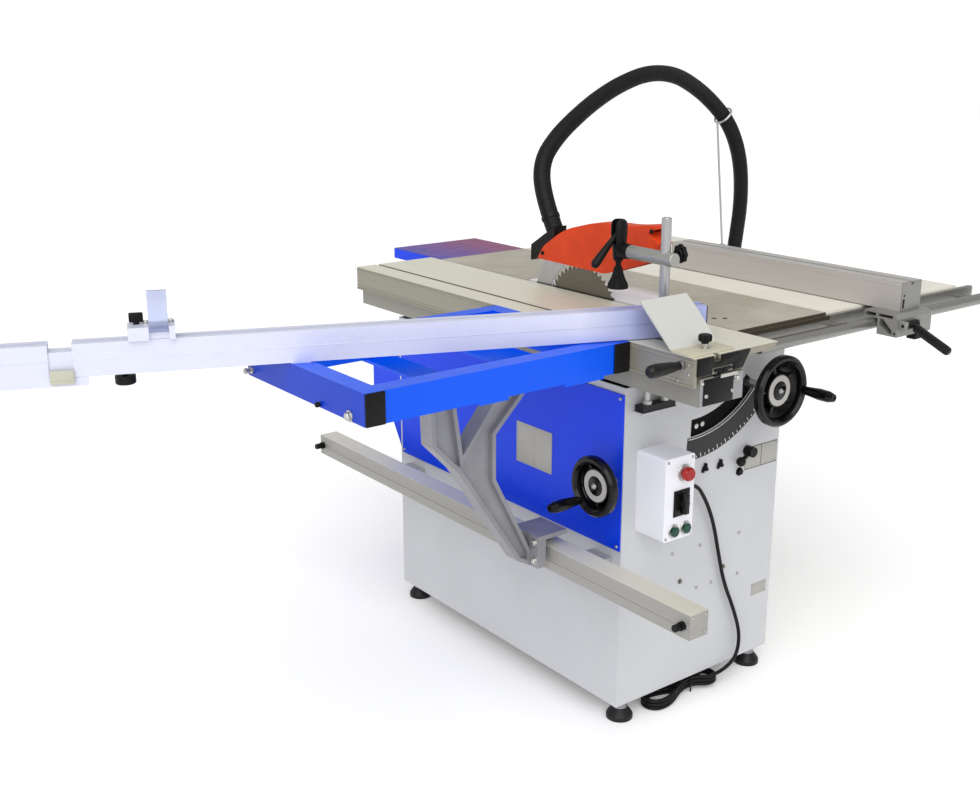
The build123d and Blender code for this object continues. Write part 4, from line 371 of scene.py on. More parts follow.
def drawn_metal(name, tint, rough, stretch, turn=0.0, streak=0.1, metal=0.85, zones=()):
    """Extruded or drawn metal with fine streaks along its length; zones are masks and the tints of painted
    light and shade in them.
    """
    def varied(wire):
        fine = noise(wire, STREAK_FINE, FINE, stretch, turn)
        broad = noise(wire, STREAK_BROAD, PLAIN, stretch, turn)
        fine_share, broad_share = STREAK_SHARES
        lines = spread(fine, 0.0, fine_share) + spread(broad, 0.0, broad_share)
        base = zoned(wire, tint, zones, lambda shown: mix(wire, lines, shade(shown, 1.0 - streak), shown))
        return {"Base Color": base, "Roughness": about(fine, rough, FINE_REACH),
                "Normal": bump(wire, fine, LINE_RELIEF)}
    return finish(name, {"Metallic": metal}, varied)


CAST_CLOUD = 12.0
CAST_LEFT = 0.84
CAST_REACH = (0.08, 0.08)
CAST_DEPTH = 0.0012


def cast_metal(name, tint, rough, coarse, relief, metal=0.2):
    """Sand-cast or painted casting with a coarse skin."""
    def varied(wire):
        skin = noise(wire, coarse, SKIN)
        return {"Base Color": clouded(wire, CAST_CLOUD, tint, CAST_LEFT),
                "Roughness": about(skin, rough, CAST_REACH), "Normal": bump(wire, skin, relief, CAST_DEPTH)}
    return finish(name, {"Metallic": metal}, varied)


GRIND_SCALE = 700.0
GRIND_REACH = (0.07, 0.09)
IRON_CLOUD, IRON_CLOUD_SHARE = 4.0, 0.65
IRON_STAIN, IRON_STAIN_SHARE = 24.0, 0.35


def ground_table(name, tint, dark, rough, metal, zones=()):
    """Ground cast iron: lines from the grinder, darker clouds and stains; zones are masks and the tints of
    painted light and shade in them.
    """
    def varied(wire):
        lines = noise(wire, GRIND_SCALE, PLAIN, ALONG_Y)
        cloud = spread(noise(wire, IRON_CLOUD, FINE), 0.0, 1.0)
        stain = spread(noise(wire, IRON_STAIN, STAIN), 0.0, IRON_STAIN_SHARE)
        base = mix(wire, cloud * IRON_CLOUD_SHARE + stain, tint, dark)
        for mask_of, other in zones:
            base = mix(wire, mask_of(wire), base, other)
        return {"Base Color": base, "Roughness": about(lines, rough, GRIND_REACH),
                "Normal": bump(wire, lines, LINE_RELIEF)}
    return finish(name, {"Metallic": metal}, varied)


TONE_GRAIN = 900.0
TONE_CLOUD = 20.0
TONE_CLOUD_RANGE = (0.88, 1.0)
TONE_LEFT = (0.8, 0.85)
TONE_RELIEF = 0.15
TONE_GLEAM = 0.3


def two_tone(name, mask_of, first, second, rough, metals=(0.0, 0.0)):
    """One piece with two finishes, parted where mask_of goes from 0 to 1."""
    def varied(wire):
        mask = mask_of(wire)
        fine = noise(wire, TONE_GRAIN)
        cloud = spread(noise(wire, TONE_CLOUD), *TONE_CLOUD_RANGE)
        shadow = mix(wire, mask, shade(first, TONE_LEFT[0]), shade(second, TONE_LEFT[1]))
        return {"Base Color": mix(wire, cloud, shadow, mix(wire, mask, first, second)),
                "Metallic": metals[0] + mask * (metals[1] - metals[0]),
                "Roughness": about(fine, rough, FINE_REACH), "Normal": bump(wire, fine, TONE_RELIEF)}
    return finish(name, {"Specular IOR Level": TONE_GLEAM}, varied)


WHITE = (1.0, 1.0, 1.0, 1.0)
FLOOR_CLOUD = 0.8
FLOOR_GREYS = (0.93, 0.95)
FLOOR_LOOK = {"Roughness": 0.9, "Specular IOR Level": 0.1, "Emission Color": WHITE, "Emission Strength": 0.12}


def floor_finish():
    """A pale floor with hardly visible clouds."""
    def varied(wire):
        cloud = spread(noise(wire, FLOOR_CLOUD), 0.0, 1.0)
        return {"Base Color": mix(wire, cloud, *[shade(WHITE, grey) for grey in FLOOR_GREYS])}
    return finish("pale_floor", FLOOR_LOOK, varied)


BLADE_RINGS = 900.0
BLADE_ROUGH = (0.24, 0.4)
BLADE_DEPTH = 0.0002
BLADE_METAL = 0.9
RING_DARK, RING_LIGHT, TOOTH_GREY = colour(98, 94, 86), colour(136, 131, 121), colour(112, 110, 106)


def blade_finish(centre_y, centre_z, tooth_start):
    """Ground steel with turned rings, and plain grey carbide at the tooth tips."""
    def varied(wire):
        y = axis_of(wire, "Y") - centre_y
        z = axis_of(wire, "Z") - centre_z
        radius = wire.math("SQRT", y * y + z * z, 0.0)
        rings = wire.node("ShaderNodeTexNoise", {"noise_dimensions": "1D"},
                          {"W": radius, "Scale": BLADE_RINGS, "Detail": PLAIN})
        tip = radius > tooth_start
        plain = mix(wire, spread(rings, 0.0, 1.0), RING_DARK, RING_LIGHT)
        return {"Base Color": mix(wire, tip, plain, TOOTH_GREY),
                "Roughness": spread(rings, *BLADE_ROUGH),
                "Normal": bump(wire, rings, LINE_RELIEF, BLADE_DEPTH)}
    return finish("blade_steel", {"Metallic": BLADE_METAL}, varied)


def corners(node):
    """A node's lowest and highest corners in millimetres."""
    low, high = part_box(node)
    return Vector(low) / MM, Vector(high) / MM


# Shapes, made in millimetres

def block(bm, low, high, edge=0.0, segments=2):
    """A box between two corners, with rounded edges."""
    low, high = Vector(low), Vector(high)
    spot = Matrix.Translation((low + high) / 2) @ Matrix.Diagonal((*(high - low), 1.0))
    verts = bmesh.ops.create_cube(bm, size=1.0, matrix=spot)["verts"]
    if edge:
        edges = {line for vert in verts for line in vert.link_edges}
        bmesh.ops.bevel(bm, geom=list(edges), offset=edge, segments=segments, profile=0.5,
                        affect="EDGES", material=-1)


def prism(bm, outline, push, edge=0.0):
    """A flat outline pushed out to a plate, with its edges eased."""
    face = bm.faces.new([bm.verts.new(corner) for corner in outline])
    grown = bmesh.ops.extrude_face_region(bm, geom=[face])["geom"]
    moved = [part for part in grown if isinstance(part, bmesh.types.BMVert)]
    bmesh.ops.translate(bm, vec=push, verts=moved)
    if edge:
        edges = {line for vert in moved for line in vert.link_edges}
        bmesh.ops.bevel(bm, geom=list(edges), offset=edge, segments=2, profile=0.5,
                        affect="EDGES", material=-1)


def turned(bm, outline, foot, axis, steps=ROUND_STEPS):
    """A round piece: (radius, height) points spun about an axis that starts at its foot."""
    direction = Vector(axis).normalized()
    stand = Matrix.Translation(Vector(foot)) @ direction.to_track_quat("Z", "Y").to_matrix().to_4x4()
    verts = [bm.verts.new(stand @ Vector((radius, 0.0, height))) for radius, height in outline]
    lines = [bm.edges.new(pair) for pair in zip(verts, verts[1:])]
    bmesh.ops.spin(bm, geom=verts + lines, cent=foot, axis=direction, angle=2 * math.pi, steps=steps,
                   use_merge=True)


def rod(bm, start, end, radius, steps=ROUND_STEPS, edge=0.6):
    """A round bar with eased ends."""
    axis = Vector(end) - Vector(start)
    long = axis.length
    outline = [(0, 0), (radius - edge, 0), (radius, edge), (radius, long - edge), (radius - edge, long),
               (0, long)]
    turned(bm, outline, start, axis, steps)


# Outlines of fasteners and knobs, as shares of their radius and height
DOME_OUTLINE = [(0, 0), (1, 0), (1, 0.4), (0.8, 0.85), (0.45, 1), (0.38, 1), (0.3, 0.45), (0, 0.45)]
DOME_RISE = 0.75
WASHER_R, WASHER_RISE = 1.35, 0.22
HEX_OUTLINE = [(0, 0), (1, 0), (1, 0.8), (0.86, 1), (0, 1)]
HEX_RISE = 0.85
PLAIN_OUTLINE = [(0, 0), (1, 0), (1, 1), (0, 1)]
KNOB_OUTLINE = [(0, 0), (0.55, 0), (0.62, 0.2), (0.94, 0.26), (1, 0.4), (1, 0.8), (0.88, 0.95), (0.5, 1),
                (0, 0.94)]
KNOB_STEM_R = 0.3
KNOB_RIM_FROM, LOBE_DEPTH = 0.7, 0.07
SCREW_STEPS, WASHER_STEPS, HEX_SIDES, LOBE_STEPS = 16, 20, 6, 4


def scaled(outline, radius, high):
    """An outline that is given in shares, in millimetres."""
    return [(r * radius, z * high) for r, z in outline]


def dome_screw(bm, foot, axis, radius):
    """A pan head with a driver recess."""
    turned(bm, scaled(DOME_OUTLINE, radius, DOME_RISE * radius), foot, axis, SCREW_STEPS)


def hex_bolt(bm, foot, axis, radius):
    """A hexagon head on a washer."""
    washer = WASHER_RISE * radius
    turned(bm, scaled(PLAIN_OUTLINE, WASHER_R * radius, washer), foot, axis, WASHER_STEPS)
    start = Vector(foot) + Vector(axis).normalized() * washer
    turned(bm, scaled(HEX_OUTLINE, radius, HEX_RISE * radius), start, axis, HEX_SIDES)


def lobed_knob(bm, foot, axis, radius, high, lobes, stem=0.0):
    """A clamping knob on a stud, with a lobed rim."""
    direction = Vector(axis).normalized()
    if stem:
        turned(bm, scaled(PLAIN_OUTLINE, KNOB_STEM_R * radius, stem), foot, axis, SCREW_STEPS)
    base = Vector(foot) + direction * stem
    before = set(bm.verts)
    turned(bm, scaled(KNOB_OUTLINE, radius, high), base, axis, lobes * LOBE_STEPS)
    side = direction.orthogonal().normalized()
    other = direction.cross(side)
    for vert in set(bm.verts) - before:
        out = vert.co - base
        out -= direction * out.dot(direction)
        if out.length > KNOB_RIM_FROM * radius:
            angle = math.atan2(out.dot(other), out.dot(side))
            vert.co += out * LOBE_DEPTH * math.cos(lobes * angle)


RING_STEPS = 40


def ring(bm, foot, axis, inner, outer, high, edge=0.5):
    """A flat ring with an eased outer edge."""
    outline = [(inner, 0), (outer, 0), (outer, high - edge), (outer - edge, high), (inner, high), (inner, 0)]
    turned(bm, outline, foot, axis, RING_STEPS)


def inset_corners(low, high, inset):
    """The four corners of a rectangle, drawn in by an inset."""
    return [(x, z) for x in (low[0] + inset, high[0] - inset) for z in (low[1] + inset, high[1] - inset)]


def sector(bm, inner, outer, back, front, start, end):
    """A flat ring segment about the Y axis; its angles in degrees run from straight down towards +X."""
    corners_of = ((inner, back), (inner, front), (outer, front), (outer, back))
    verts = [bm.verts.new((0, y, -radius)) for radius, y in corners_of]
    face = bm.faces.new(verts)
    bmesh.ops.rotate(bm, cent=(0, 0, 0), matrix=Matrix.Rotation(-math.radians(start), 3, "Y"), verts=verts)
    bmesh.ops.spin(bm, geom=[face], cent=(0, 0, 0), axis=(0, -1, 0), angle=math.radians(end - start),
                   steps=round(end - start))


def holder_of(name, bm):
    """An object that holds a bmesh for as long as a cut needs it."""
    bmesh.ops.remove_doubles(bm, verts=bm.verts, dist=WELD)
    bmesh.ops.recalc_face_normals(bm, faces=bm.faces)
    mesh = bpy.data.meshes.new(name)
    bm.to_mesh(mesh)
    bm.free()
    holder = bpy.data.objects.new(name, mesh)
    bpy.context.scene.collection.objects.link(holder)
    return holder


def cut_out(bm, cutter):
    """A closed shape with the closed shapes of a second bmesh taken out of it."""
    body = holder_of("cut_body", bm)
    tool = holder_of("cut_tool", cutter)
    change = body.modifiers.new("cut", "BOOLEAN")
    change.operation = "DIFFERENCE"
    change.solver = "EXACT"
    change.object = tool
    graph = bpy.context.evaluated_depsgraph_get()
    mesh = bpy.data.meshes.new_from_object(body.evaluated_get(graph))
    result = bmesh.new()
    result.from_mesh(mesh)
    for spare in (mesh, body.data, tool.data):
        bpy.data.meshes.remove(spare)
    return result


def piece(name, bm, look, body):
    """Turns a bmesh in millimetres into a named piece on a body; a look is a finish and its slot."""
    material, slot = look
    bmesh.ops.remove_doubles(bm, verts=bm.verts, dist=WELD)
    bmesh.ops.recalc_face_normals(bm, faces=bm.faces)
    bmesh.ops.scale(bm, vec=(MM, MM, MM), verts=bm.verts)
    mesh = bpy.data.meshes.new(name)
    bm.to_mesh(mesh)
    bm.free()
    mesh.materials.append(material)
    mesh.shade_smooth()
    mesh.set_sharp_from_angle(angle=SHARP_ANGLE)
    made = bpy.data.objects.new(name, mesh)
    bpy.context.scene.collection.objects.link(made)
    if body:
        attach(made, body)
    return made


def grouped(name, look, body, maker, spots, axis, radius):
    """Several like fasteners as one piece; maker adds one at each spot."""
    bm = bmesh.new()
    for spot in spots:
        maker(bm, spot, axis, radius)
    return piece(name, bm, look, body)


# The finishes in use

BLUE = colour(0, 62, 229)
CAST_GREY = colour(150, 150, 153)
# Metal shares of a dark part and of the metal that it holds
DARK_METAL = (0.0, 0.9)

TABLE_LOW, TABLE_HIGH = corners("main_table")
FRAME_LOW, FRAME_HIGH = corners("outrigger_frame")
RAIL_LOW, RAIL_HIGH = corners("lower_rail")
EXTENSION_LOW, EXTENSION_HIGH = corners("rear_extension")
BLADE_LOW, BLADE_HIGH = corners("saw_blade")
BLADE_MIDDLE = (BLADE_LOW + BLADE_HIGH) / 2
BLADE_R = (BLADE_HIGH.z - BLADE_LOW.z) / 2
TOOTH_TIP = 7.0
PLUG_PINS_FROM = corners("mains_plug")[1].y - 19.0
HANDLE_NECK_FROM = corners("push_handle")[1].x - 9.0
FOOT_STUD_FROM = 27.0
SHOE_FOOT_TOP = 901.5
SUPPORT_LOW, SUPPORT_TOP = 500.0, 742.5
CARRIAGE_TOP = 894.6
RIP_TOP = 960.6
RAIL_TOP_ROOM = 0.4
RAIL_PAINTED_SHADE_LOW = 881.0
# Where the fence turns to painted shade with a blue reflection, towards its right end
FENCE_PAINTED_SHADE = (-330.0, -220.0)
GLARE_RIGHT, GLARE_FRONT, GLARE_BACK, GLARE_LEVEL = (160.0, 110.0), (-190.0, -150.0), (60.0, 0.0), 894.0

# Painted shade on the table's front face, under its edge
table_painted_edge_shade = low_face("Y", TABLE_LOW.y)
# A painted highlight: the glare on the table's top beside the insert
table_painted_glare = both(both(fade("X", *GLARE_RIGHT), fade("Y", *GLARE_FRONT)),
                   both(fade("Y", *GLARE_BACK), above("Z", GLARE_LEVEL)))
# Painted shade on the top of the rip rail, under the table's front edge
rail_painted_shade = both(above("Z", RAIL_PAINTED_SHADE_LOW), between("X", 0.0, TABLE_HIGH.x))

cabinet_paint = painted("cabinet_paint", colour(196, 197, 200), rough=0.42)
box_paint = painted("control_box_paint", colour(234, 234, 241), rough=0.38)
blue_paint = painted("blue_paint", BLUE, rough=0.34, gleam=0.22)
# The frame's left face is painted a darker blue: painted shade on that side
frame_paint = painted("frame_paint", colour(0, 86, 234), rough=0.34, gleam=0.22,
                      zones=[(low_face("X", FRAME_LOW.x), colour(0, 56, 190))])
motor_paint = painted("motor_paint", colour(70, 76, 84), rough=0.46)
dark_plate = painted("dark_scale_plate", colour(46, 46, 48), rough=0.4, gleam=0.25)
white_mark = painted("white_mark", colour(238, 238, 236), rough=0.5)
beige_block = painted("beige_block", colour(188, 186, 170), rough=0.5)
dial_grey = painted("dial_grey", colour(178, 175, 170), rough=0.42)
# The rear extension: blue sides, and on its top a painted reflection that turns from navy to purple along X
extension_paint = reflection_tinted_enamel("extension_paint", EXTENSION_LOW.x, EXTENSION_HIGH.x, EXTENSION_HIGH.z, BLUE,
                               colour(36, 54, 168), colour(126, 55, 104))

orange_plastic = moulded("guard_orange", colour(219, 68, 27), rough=0.46, grain=700.0, relief=0.06)
black_plastic = moulded("black_plastic", colour(16, 15, 16), rough=0.42)
black_gloss = moulded("black_gloss", colour(12, 11, 12), rough=0.2, grain=300.0, relief=0.06, gleam=0.3)
deep_black = moulded("deep_black", colour(8, 8, 9), rough=0.5, gleam=0.06)
black_rubber = moulded("black_rubber", colour(20, 19, 20), rough=0.66)
cable_rubber = moulded("cable_rubber", colour(18, 17, 19), rough=0.48)
hose_rubber = moulded("hose_plastic", colour(17, 16, 17), rough=0.5, gleam=0.3)
clear_plastic = moulded("clear_plastic", colour(212, 220, 250), rough=0.12, grain=400.0, relief=0.04,
                        clear=0.85, gleam=0.5)
red_plastic = moulded("red_plastic", colour(166, 15, 9), rough=0.24, grain=500.0, relief=0.06, gleam=0.45)
green_plastic = moulded("green_plastic", colour(9, 66, 48), rough=0.26, grain=500.0, relief=0.06, gleam=0.4)

alloy_y = drawn_metal("alloy_along_y", colour(206, 205, 200), rough=0.4, stretch=ALONG_Y, metal=0.5)
# The rip rail carries a dark brown painted shade under the table's edge
alloy_x = drawn_metal("alloy_along_x", colour(146, 145, 141), rough=0.3, stretch=ALONG_X, metal=0.75,
                      zones=[(rail_painted_shade, colour(92, 84, 70))])
alloy_end = drawn_metal("alloy_end", colour(142, 141, 137), rough=0.44, stretch=ALONG_X, metal=0.3)
beam_end_alloy = drawn_metal("beam_end_alloy", colour(152, 152, 155), rough=0.46, stretch=ALONG_X, metal=0.2)
# The lower rail's top face is painted lighter and warmer than its sides: painted light on the top
alloy_rail = drawn_metal("rail_alloy", colour(158, 156, 151), rough=0.5, stretch=ALONG_Y, metal=0.08,
                         zones=[(above("Z", RAIL_HIGH.z - RAIL_TOP_ROOM), colour(216, 213, 196))])
# The fence grows darker and bluer towards its right end: painted shade with a painted blue reflection
alloy_fence = drawn_metal("alloy_along_fence", colour(220, 223, 240), rough=0.4, stretch=ALONG_X,
                          turn=FENCE_TURN, streak=0.08, metal=0.25,
                          zones=[(fade("X", *FENCE_PAINTED_SHADE), colour(168, 176, 222))])
beam_alloy = drawn_metal("beam_alloy", colour(146, 144, 134), rough=0.44, stretch=ALONG_Y, metal=0.3)
# The carriage's top is painted lighter and warmer than its sides: painted light on the top, painted shade on
# the sides
carriage_alloy = drawn_metal("carriage_alloy", colour(152, 148, 134), rough=0.42, stretch=ALONG_Y, metal=0.35,
                             zones=[(above("Z", CARRIAGE_TOP), colour(230, 227, 210))])
# The rip fence's top is painted a little darker than its sides: painted shade on the top
rip_alloy = drawn_metal("rip_fence_alloy", colour(198, 194, 190), rough=0.4, stretch=ALONG_Y, metal=0.35,
                        zones=[(above("Z", RIP_TOP), colour(190, 188, 183))])
insert_alloy = drawn_metal("insert_alloy", colour(246, 245, 248), rough=0.42, stretch=ALONG_Y, metal=0.1)
blank_plate = drawn_metal("blank_plate", colour(176, 174, 168), rough=0.44, stretch=ALONG_X, metal=0.5)
bright_steel = drawn_metal("bright_steel", colour(196, 196, 200), rough=0.3, stretch=ALONG_Z, metal=0.9)
column_steel = drawn_metal("column_steel", colour(180, 179, 180), rough=0.32, stretch=ALONG_Z, metal=0.65)
clamp_steel = drawn_metal("clamp_steel", colour(176, 176, 170), rough=0.42, stretch=ALONG_Y, metal=0.75)

screw_steel = cast_metal("screw_steel", colour(196, 195, 190), rough=0.3, coarse=900.0, relief=0.1, metal=0.9)
zinc_plate = cast_metal("zinc_plate", colour(112, 110, 92), rough=0.36, coarse=900.0, relief=0.1, metal=0.6)
strut_cast = cast_metal("strut_casting", colour(150, 149, 153), rough=0.46, coarse=140.0, relief=0.4,
                        metal=0.3)
inner_cast = cast_metal("inner_casting", colour(92, 96, 100), rough=0.6, coarse=120.0, relief=0.7)

# The table carries a painted glare beside the insert, and painted shade on its front face
table_iron = ground_table("ground_table_iron", colour(198, 193, 178), colour(164, 157, 140), rough=0.4,
                          metal=0.3, zones=[(table_painted_glare, colour(240, 236, 240)),
                                            (table_painted_edge_shade, colour(84, 76, 62))])
wing_iron = ground_table("wing_iron", colour(234, 231, 220), colour(220, 216, 202), rough=0.44, metal=0.05)
blade_steel = blade_finish(BLADE_MIDDLE.y * MM, BLADE_MIDDLE.z * MM, (BLADE_R - TOOTH_TIP) * MM)

shoe_paint = two_tone("shoe_paint", above("Z", SHOE_FOOT_TOP),
                      colour(190, 186, 165), colour(196, 197, 191), rough=0.44)
foot_rubber = two_tone("foot_rubber", above("Z", FOOT_STUD_FROM),
                       colour(22, 22, 24), CAST_GREY, rough=0.45, metals=DARK_METAL)
plug_black = two_tone("plug_black", above("Y", PLUG_PINS_FROM),
                      colour(22, 22, 23), colour(206, 178, 110), rough=0.4, metals=DARK_METAL)
handle_black = two_tone("handle_black", above("X", HANDLE_NECK_FROM),
                        colour(17, 15, 14), CAST_GREY, rough=0.4, metals=DARK_METAL)
bracket_finish = two_tone("bracket_finish", between("Z", SUPPORT_LOW, SUPPORT_TOP),
                          colour(190, 190, 188), colour(20, 20, 24), rough=0.4, metals=(0.6, 0.0))

# Looks of the small pieces: a finish and the slot that it fills
BLACK_PART = (black_plastic, "black_plastic")
GLOSS_PART = (black_gloss, "black_plastic")
RUBBER_PART = (black_rubber, "black_rubber")
STEEL_PART = (screw_steel, "steel")

NODE_FINISHES = {
    cabinet_paint: ["cabinet"],
    blue_paint: ["side_cover", "rear_hood"],
    frame_paint: ["outrigger_frame"],
    extension_paint: ["rear_extension"],
    foot_rubber: ["leveling_feet"],
    dark_plate: ["angle_scale"],
    box_paint: ["control_box"],
    table_iron: ["main_table"],
    insert_alloy: ["table_insert"],
    wing_iron: ["extension_wing"],
    alloy_x: ["rip_rail"],
    alloy_y: ["rip_fence_carrier"],
    beam_alloy: ["beam"],
    alloy_rail: ["lower_rail"],
    carriage_alloy: ["carriage"],
    rip_alloy: ["rip_fence"],
    bracket_finish: ["slide_brackets"],
    inner_cast: ["trunnion_supports", "tilt_cradle", "arbor_housing"],
    bright_steel: ["hose_stand", "arbor_shaft", "blade_flanges", "riving_knife", "height_screw",
                   "tilt_screw", "strut_roller"],
    column_steel: ["clamp_column"],
    motor_paint: ["motor", "motor_pulley"],
    orange_plastic: ["blade_guard"],
    black_plastic: ["guard_spout", "clamp_lever", "clamp_foot", "rip_fence_lever", "selector_knob",
                    "cable_gland", "tilt_lock_lever"],
    black_rubber: ["drive_belt"],
    blade_steel: ["saw_blade"],
    black_gloss: ["height_wheel", "height_wheel_grip", "tilt_wheel", "tilt_wheel_grip"],
    handle_black: ["push_handle"],
    strut_cast: ["support_strut"],
    alloy_fence: ["crosscut_fence", "fence_extension", "flip_stop"],
    clear_plastic: ["stop_finger"],
    shoe_paint: ["edging_shoe"],
    clamp_steel: ["clamp_arm"],
    red_plastic: ["estop_button"],
    green_plastic: ["start_button_left", "start_button_right"],
    plug_black: ["mains_plug"],
}


def dress_nodes():
    """Gives each CAD node its finish, apart from the cords, which pieces of this script replace."""
    for material, names in NODE_FINISHES.items():
        for name in names:
            for slot in NODES[name].material_slots:
                slot.material = material


# Cords

CURVE_STEPS = 12
CURVE_ORDER = 3


def route_curve(name, route):
    """One open curve with the route's points as its control points."""
    curve = bpy.data.curves.new(name, "CURVE")
    curve.dimensions = "3D"
    curve.resolution_u = CURVE_STEPS
    line = curve.splines.new("NURBS")
    line.points.add(len(route) - 1)
    for point, spot in zip(line.points, route):
        point.co = (*(Vector(spot) * MM), 1.0)
    line.order_u = CURVE_ORDER
    line.use_endpoint_u = True
    return curve


CABLE_R = 4.3
CABLE_ROUND = 5
CABLE_ROUTE = [(-50, -400, 540), (-4, -400, 540), (38, -396, 489), (74, -391, 420), (98, -389, 338),
               (121, -389, 262), (159, -391, 184), (182, -395, 112), (172, -395, 56), (133, -389, 32.5),
               (97, -389, 32.5)]
HANK_LOOPS = 3
HANK_MIDDLE = -362.0
HANK_RIGHT = 97.0
HANK_LEFT = -63.0
HANK_TURN_R = 27.0
WAIST_X = 45.0
WAIST_HALF = 5.2
HANK_STEP = 9.3
HANK_LOW = 4.6
PLUG_START = (142, -230, 17.3)
LEAD_R = 45.0
LEAD_POINTS = 2
TURN_POINTS = 4
RUN_SHARE = 0.25


def arc_points(middle_x, middle_y, radius, start, sweep, count, z):
    """Control points of an arc: the corners of the outline that touches it."""
    step = sweep / count
    reach = radius / math.cos(step / 2)
    angles = [start + step * (i + 0.5) for i in range(count)]
    return [(middle_x + reach * math.cos(a), middle_y + reach * math.sin(a), z) for a in angles]


def waist_points(x0, x1, outer_y, waist_y, z0, z1):
    """Control points of a run that draws in to the waist and out again; it may climb before the waist."""
    first = (WAIST_X - x0) * RUN_SHARE
    last = (x1 - WAIST_X) * RUN_SHARE
    return [(x0 + first, outer_y, z0), (WAIST_X - first, waist_y, z1), (WAIST_X + last, waist_y, z1),
            (x1 - last, outer_y, z1)]


def hank_route():
    """The folded cable from its plug up to the loop where it leaves the hank."""
    back = HANK_MIDDLE + HANK_TURN_R
    front = HANK_MIDDLE - HANK_TURN_R
    plug_x, plug_y, plug_z = PLUG_START
    lead_y = back + LEAD_R
    drop = (plug_y - lead_y) * RUN_SHARE
    route = [PLUG_START, (plug_x, plug_y - drop, plug_z), (plug_x, lead_y + drop, HANK_LOW)]
    route += arc_points(HANK_RIGHT, lead_y, LEAD_R, 0.0, -math.pi / 2, LEAD_POINTS, HANK_LOW)
    for loop in range(HANK_LOOPS):
        low = HANK_LOW + loop * HANK_STEP
        high = low + HANK_STEP
        route += waist_points(HANK_RIGHT, HANK_LEFT, back, HANK_MIDDLE + WAIST_HALF, low, low)
        route += arc_points(HANK_LEFT, HANK_MIDDLE, HANK_TURN_R, math.pi / 2, math.pi, TURN_POINTS, low)
        route += waist_points(HANK_LEFT, HANK_RIGHT, front, HANK_MIDDLE - WAIST_HALF, low, high)
        if loop < HANK_LOOPS - 1:
            route += arc_points(HANK_RIGHT, HANK_MIDDLE, HANK_TURN_R, -math.pi / 2, math.pi, TURN_POINTS,
                                high)
    return route


def add_cable():
    """The mains cable from the control box to the floor, and folded there into a hank."""
    route = CABLE_ROUTE + hank_route()[::-1]
    curve = route_curve("mains_cable", route)
    curve.bevel_depth = CABLE_R * MM
    curve.bevel_resolution = CABLE_ROUND
    curve.use_fill_caps = True
    curve.materials.append(cable_rubber)
    cable = bpy.data.objects.new("mains_cable", curve)
    bpy.context.scene.collection.objects.link(cable)
    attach(cable, "base")
    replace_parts(cable, "power_cable", "cable_hank")
    tie = add_cable_tie()


TIE_WIDTH = 5.0
TIE_GAP = 0.7
TIE_THICK = 1.2
TIE_HEAD = (7.0, 8.0, 4.5)


TIE_FLOOR = 0.05


def add_cable_tie():
    """A flat tie round the waist of the hank, with its head on top."""
    bm = bmesh.new()
    half_y = WAIST_HALF + CABLE_R + TIE_GAP
    outer = half_y + TIE_THICK
    top = HANK_LOW + HANK_LOOPS * HANK_STEP + CABLE_R + TIE_GAP
    left, right = WAIST_X - TIE_WIDTH / 2, WAIST_X + TIE_WIDTH / 2
    for y0, y1, low in ((-outer, -half_y, TIE_FLOOR), (half_y, outer, TIE_FLOOR), (-outer, outer, top)):
        block(bm, (left, HANK_MIDDLE + y0, low), (right, HANK_MIDDLE + y1, top + TIE_THICK), edge=0.5)
    long, wide, high = TIE_HEAD
    block(bm, (WAIST_X - long / 2, HANK_MIDDLE - wide / 2, top + TIE_THICK / 2),
          (WAIST_X + long / 2, HANK_MIDDLE + wide / 2, top + high), edge=0.8)
    return piece("cable_tie", bm, BLACK_PART, "base")


HOSE_R = 21.0
HOSE_BORE = 17.5
HOSE_GROOVE = 1.4
HOSE_RIB_PITCH = 5.5
RIB_START, RIB_TOP, RIB_END = 0.3, 0.45, 0.85
HOSE_SIDES = 22
HOSE_ROUTE = [(6, 95, 1032), (6, 142.4, 1110.9), (35, 182, 1185), (103, 201, 1241), (182, 220, 1283),
              (265, 241, 1320), (360, 256, 1355), (462, 264, 1380), (561, 267, 1375), (648, 272, 1341),
              (725, 272, 1294), (789, 263, 1231), (830, 256, 1139), (844, 256, 1023), (838, 264, 905),
              (828, 270, 800), (800, 306, 706), (738, 356, 642), (650, 412, 606), (550, 466, 584),
              (450, 512, 574), (352, 536, 577), (238, 540, 597), (125, 540, 597)]
# Where the two parts of the hose meet
HOSE_SPLIT = (103, 201, 1241)


def line_points(route):
    """Points along the smooth line of a route, in millimetres."""
    holder = bpy.data.objects.new("route_line", route_curve("route_line", route))
    bpy.context.scene.collection.objects.link(holder)
    graph = bpy.context.evaluated_depsgraph_get()
    mesh = bpy.data.meshes.new_from_object(holder.evaluated_get(graph))
    points = [vert.co / MM for vert in mesh.vertices]
    bpy.data.objects.remove(holder)
    bpy.data.meshes.remove(mesh)
    return points


def line_frames(points):
    """Length so far, place and two cross directions at each point of a line, without twist."""
    tangents = [(b - a).normalized() for a, b in zip(points, points[1:])]
    tangents.append(tangents[-1])
    side = tangents[0].orthogonal().normalized()
    frames = []
    so_far = 0.0
    for i, (spot, tangent) in enumerate(zip(points, tangents)):
        if i:
            so_far += (spot - points[i - 1]).length
            side = tangents[i - 1].rotation_difference(tangent) @ side
        side = (side - tangent * side.dot(tangent)).normalized()
        frames.append((so_far, spot, side, tangent.cross(side)))
    return frames


def bend_along(bm, frames):
    """Moves a straight shape that lies along X onto a line."""
    ordered = sorted(bm.verts, key=lambda vert: vert.co.x)
    i = 0
    for vert in ordered:
        while i < len(frames) - 2 and frames[i + 1][0] < vert.co.x:
            i += 1
        s0, spot0, side0, other0 = frames[i]
        s1, spot1, side1, other1 = frames[i + 1]
        share = (vert.co.x - s0) / (s1 - s0)
        spot = spot0.lerp(spot1, share)
        vert.co = spot + side0.lerp(side1, share) * vert.co.y + other0.lerp(other1, share) * vert.co.z


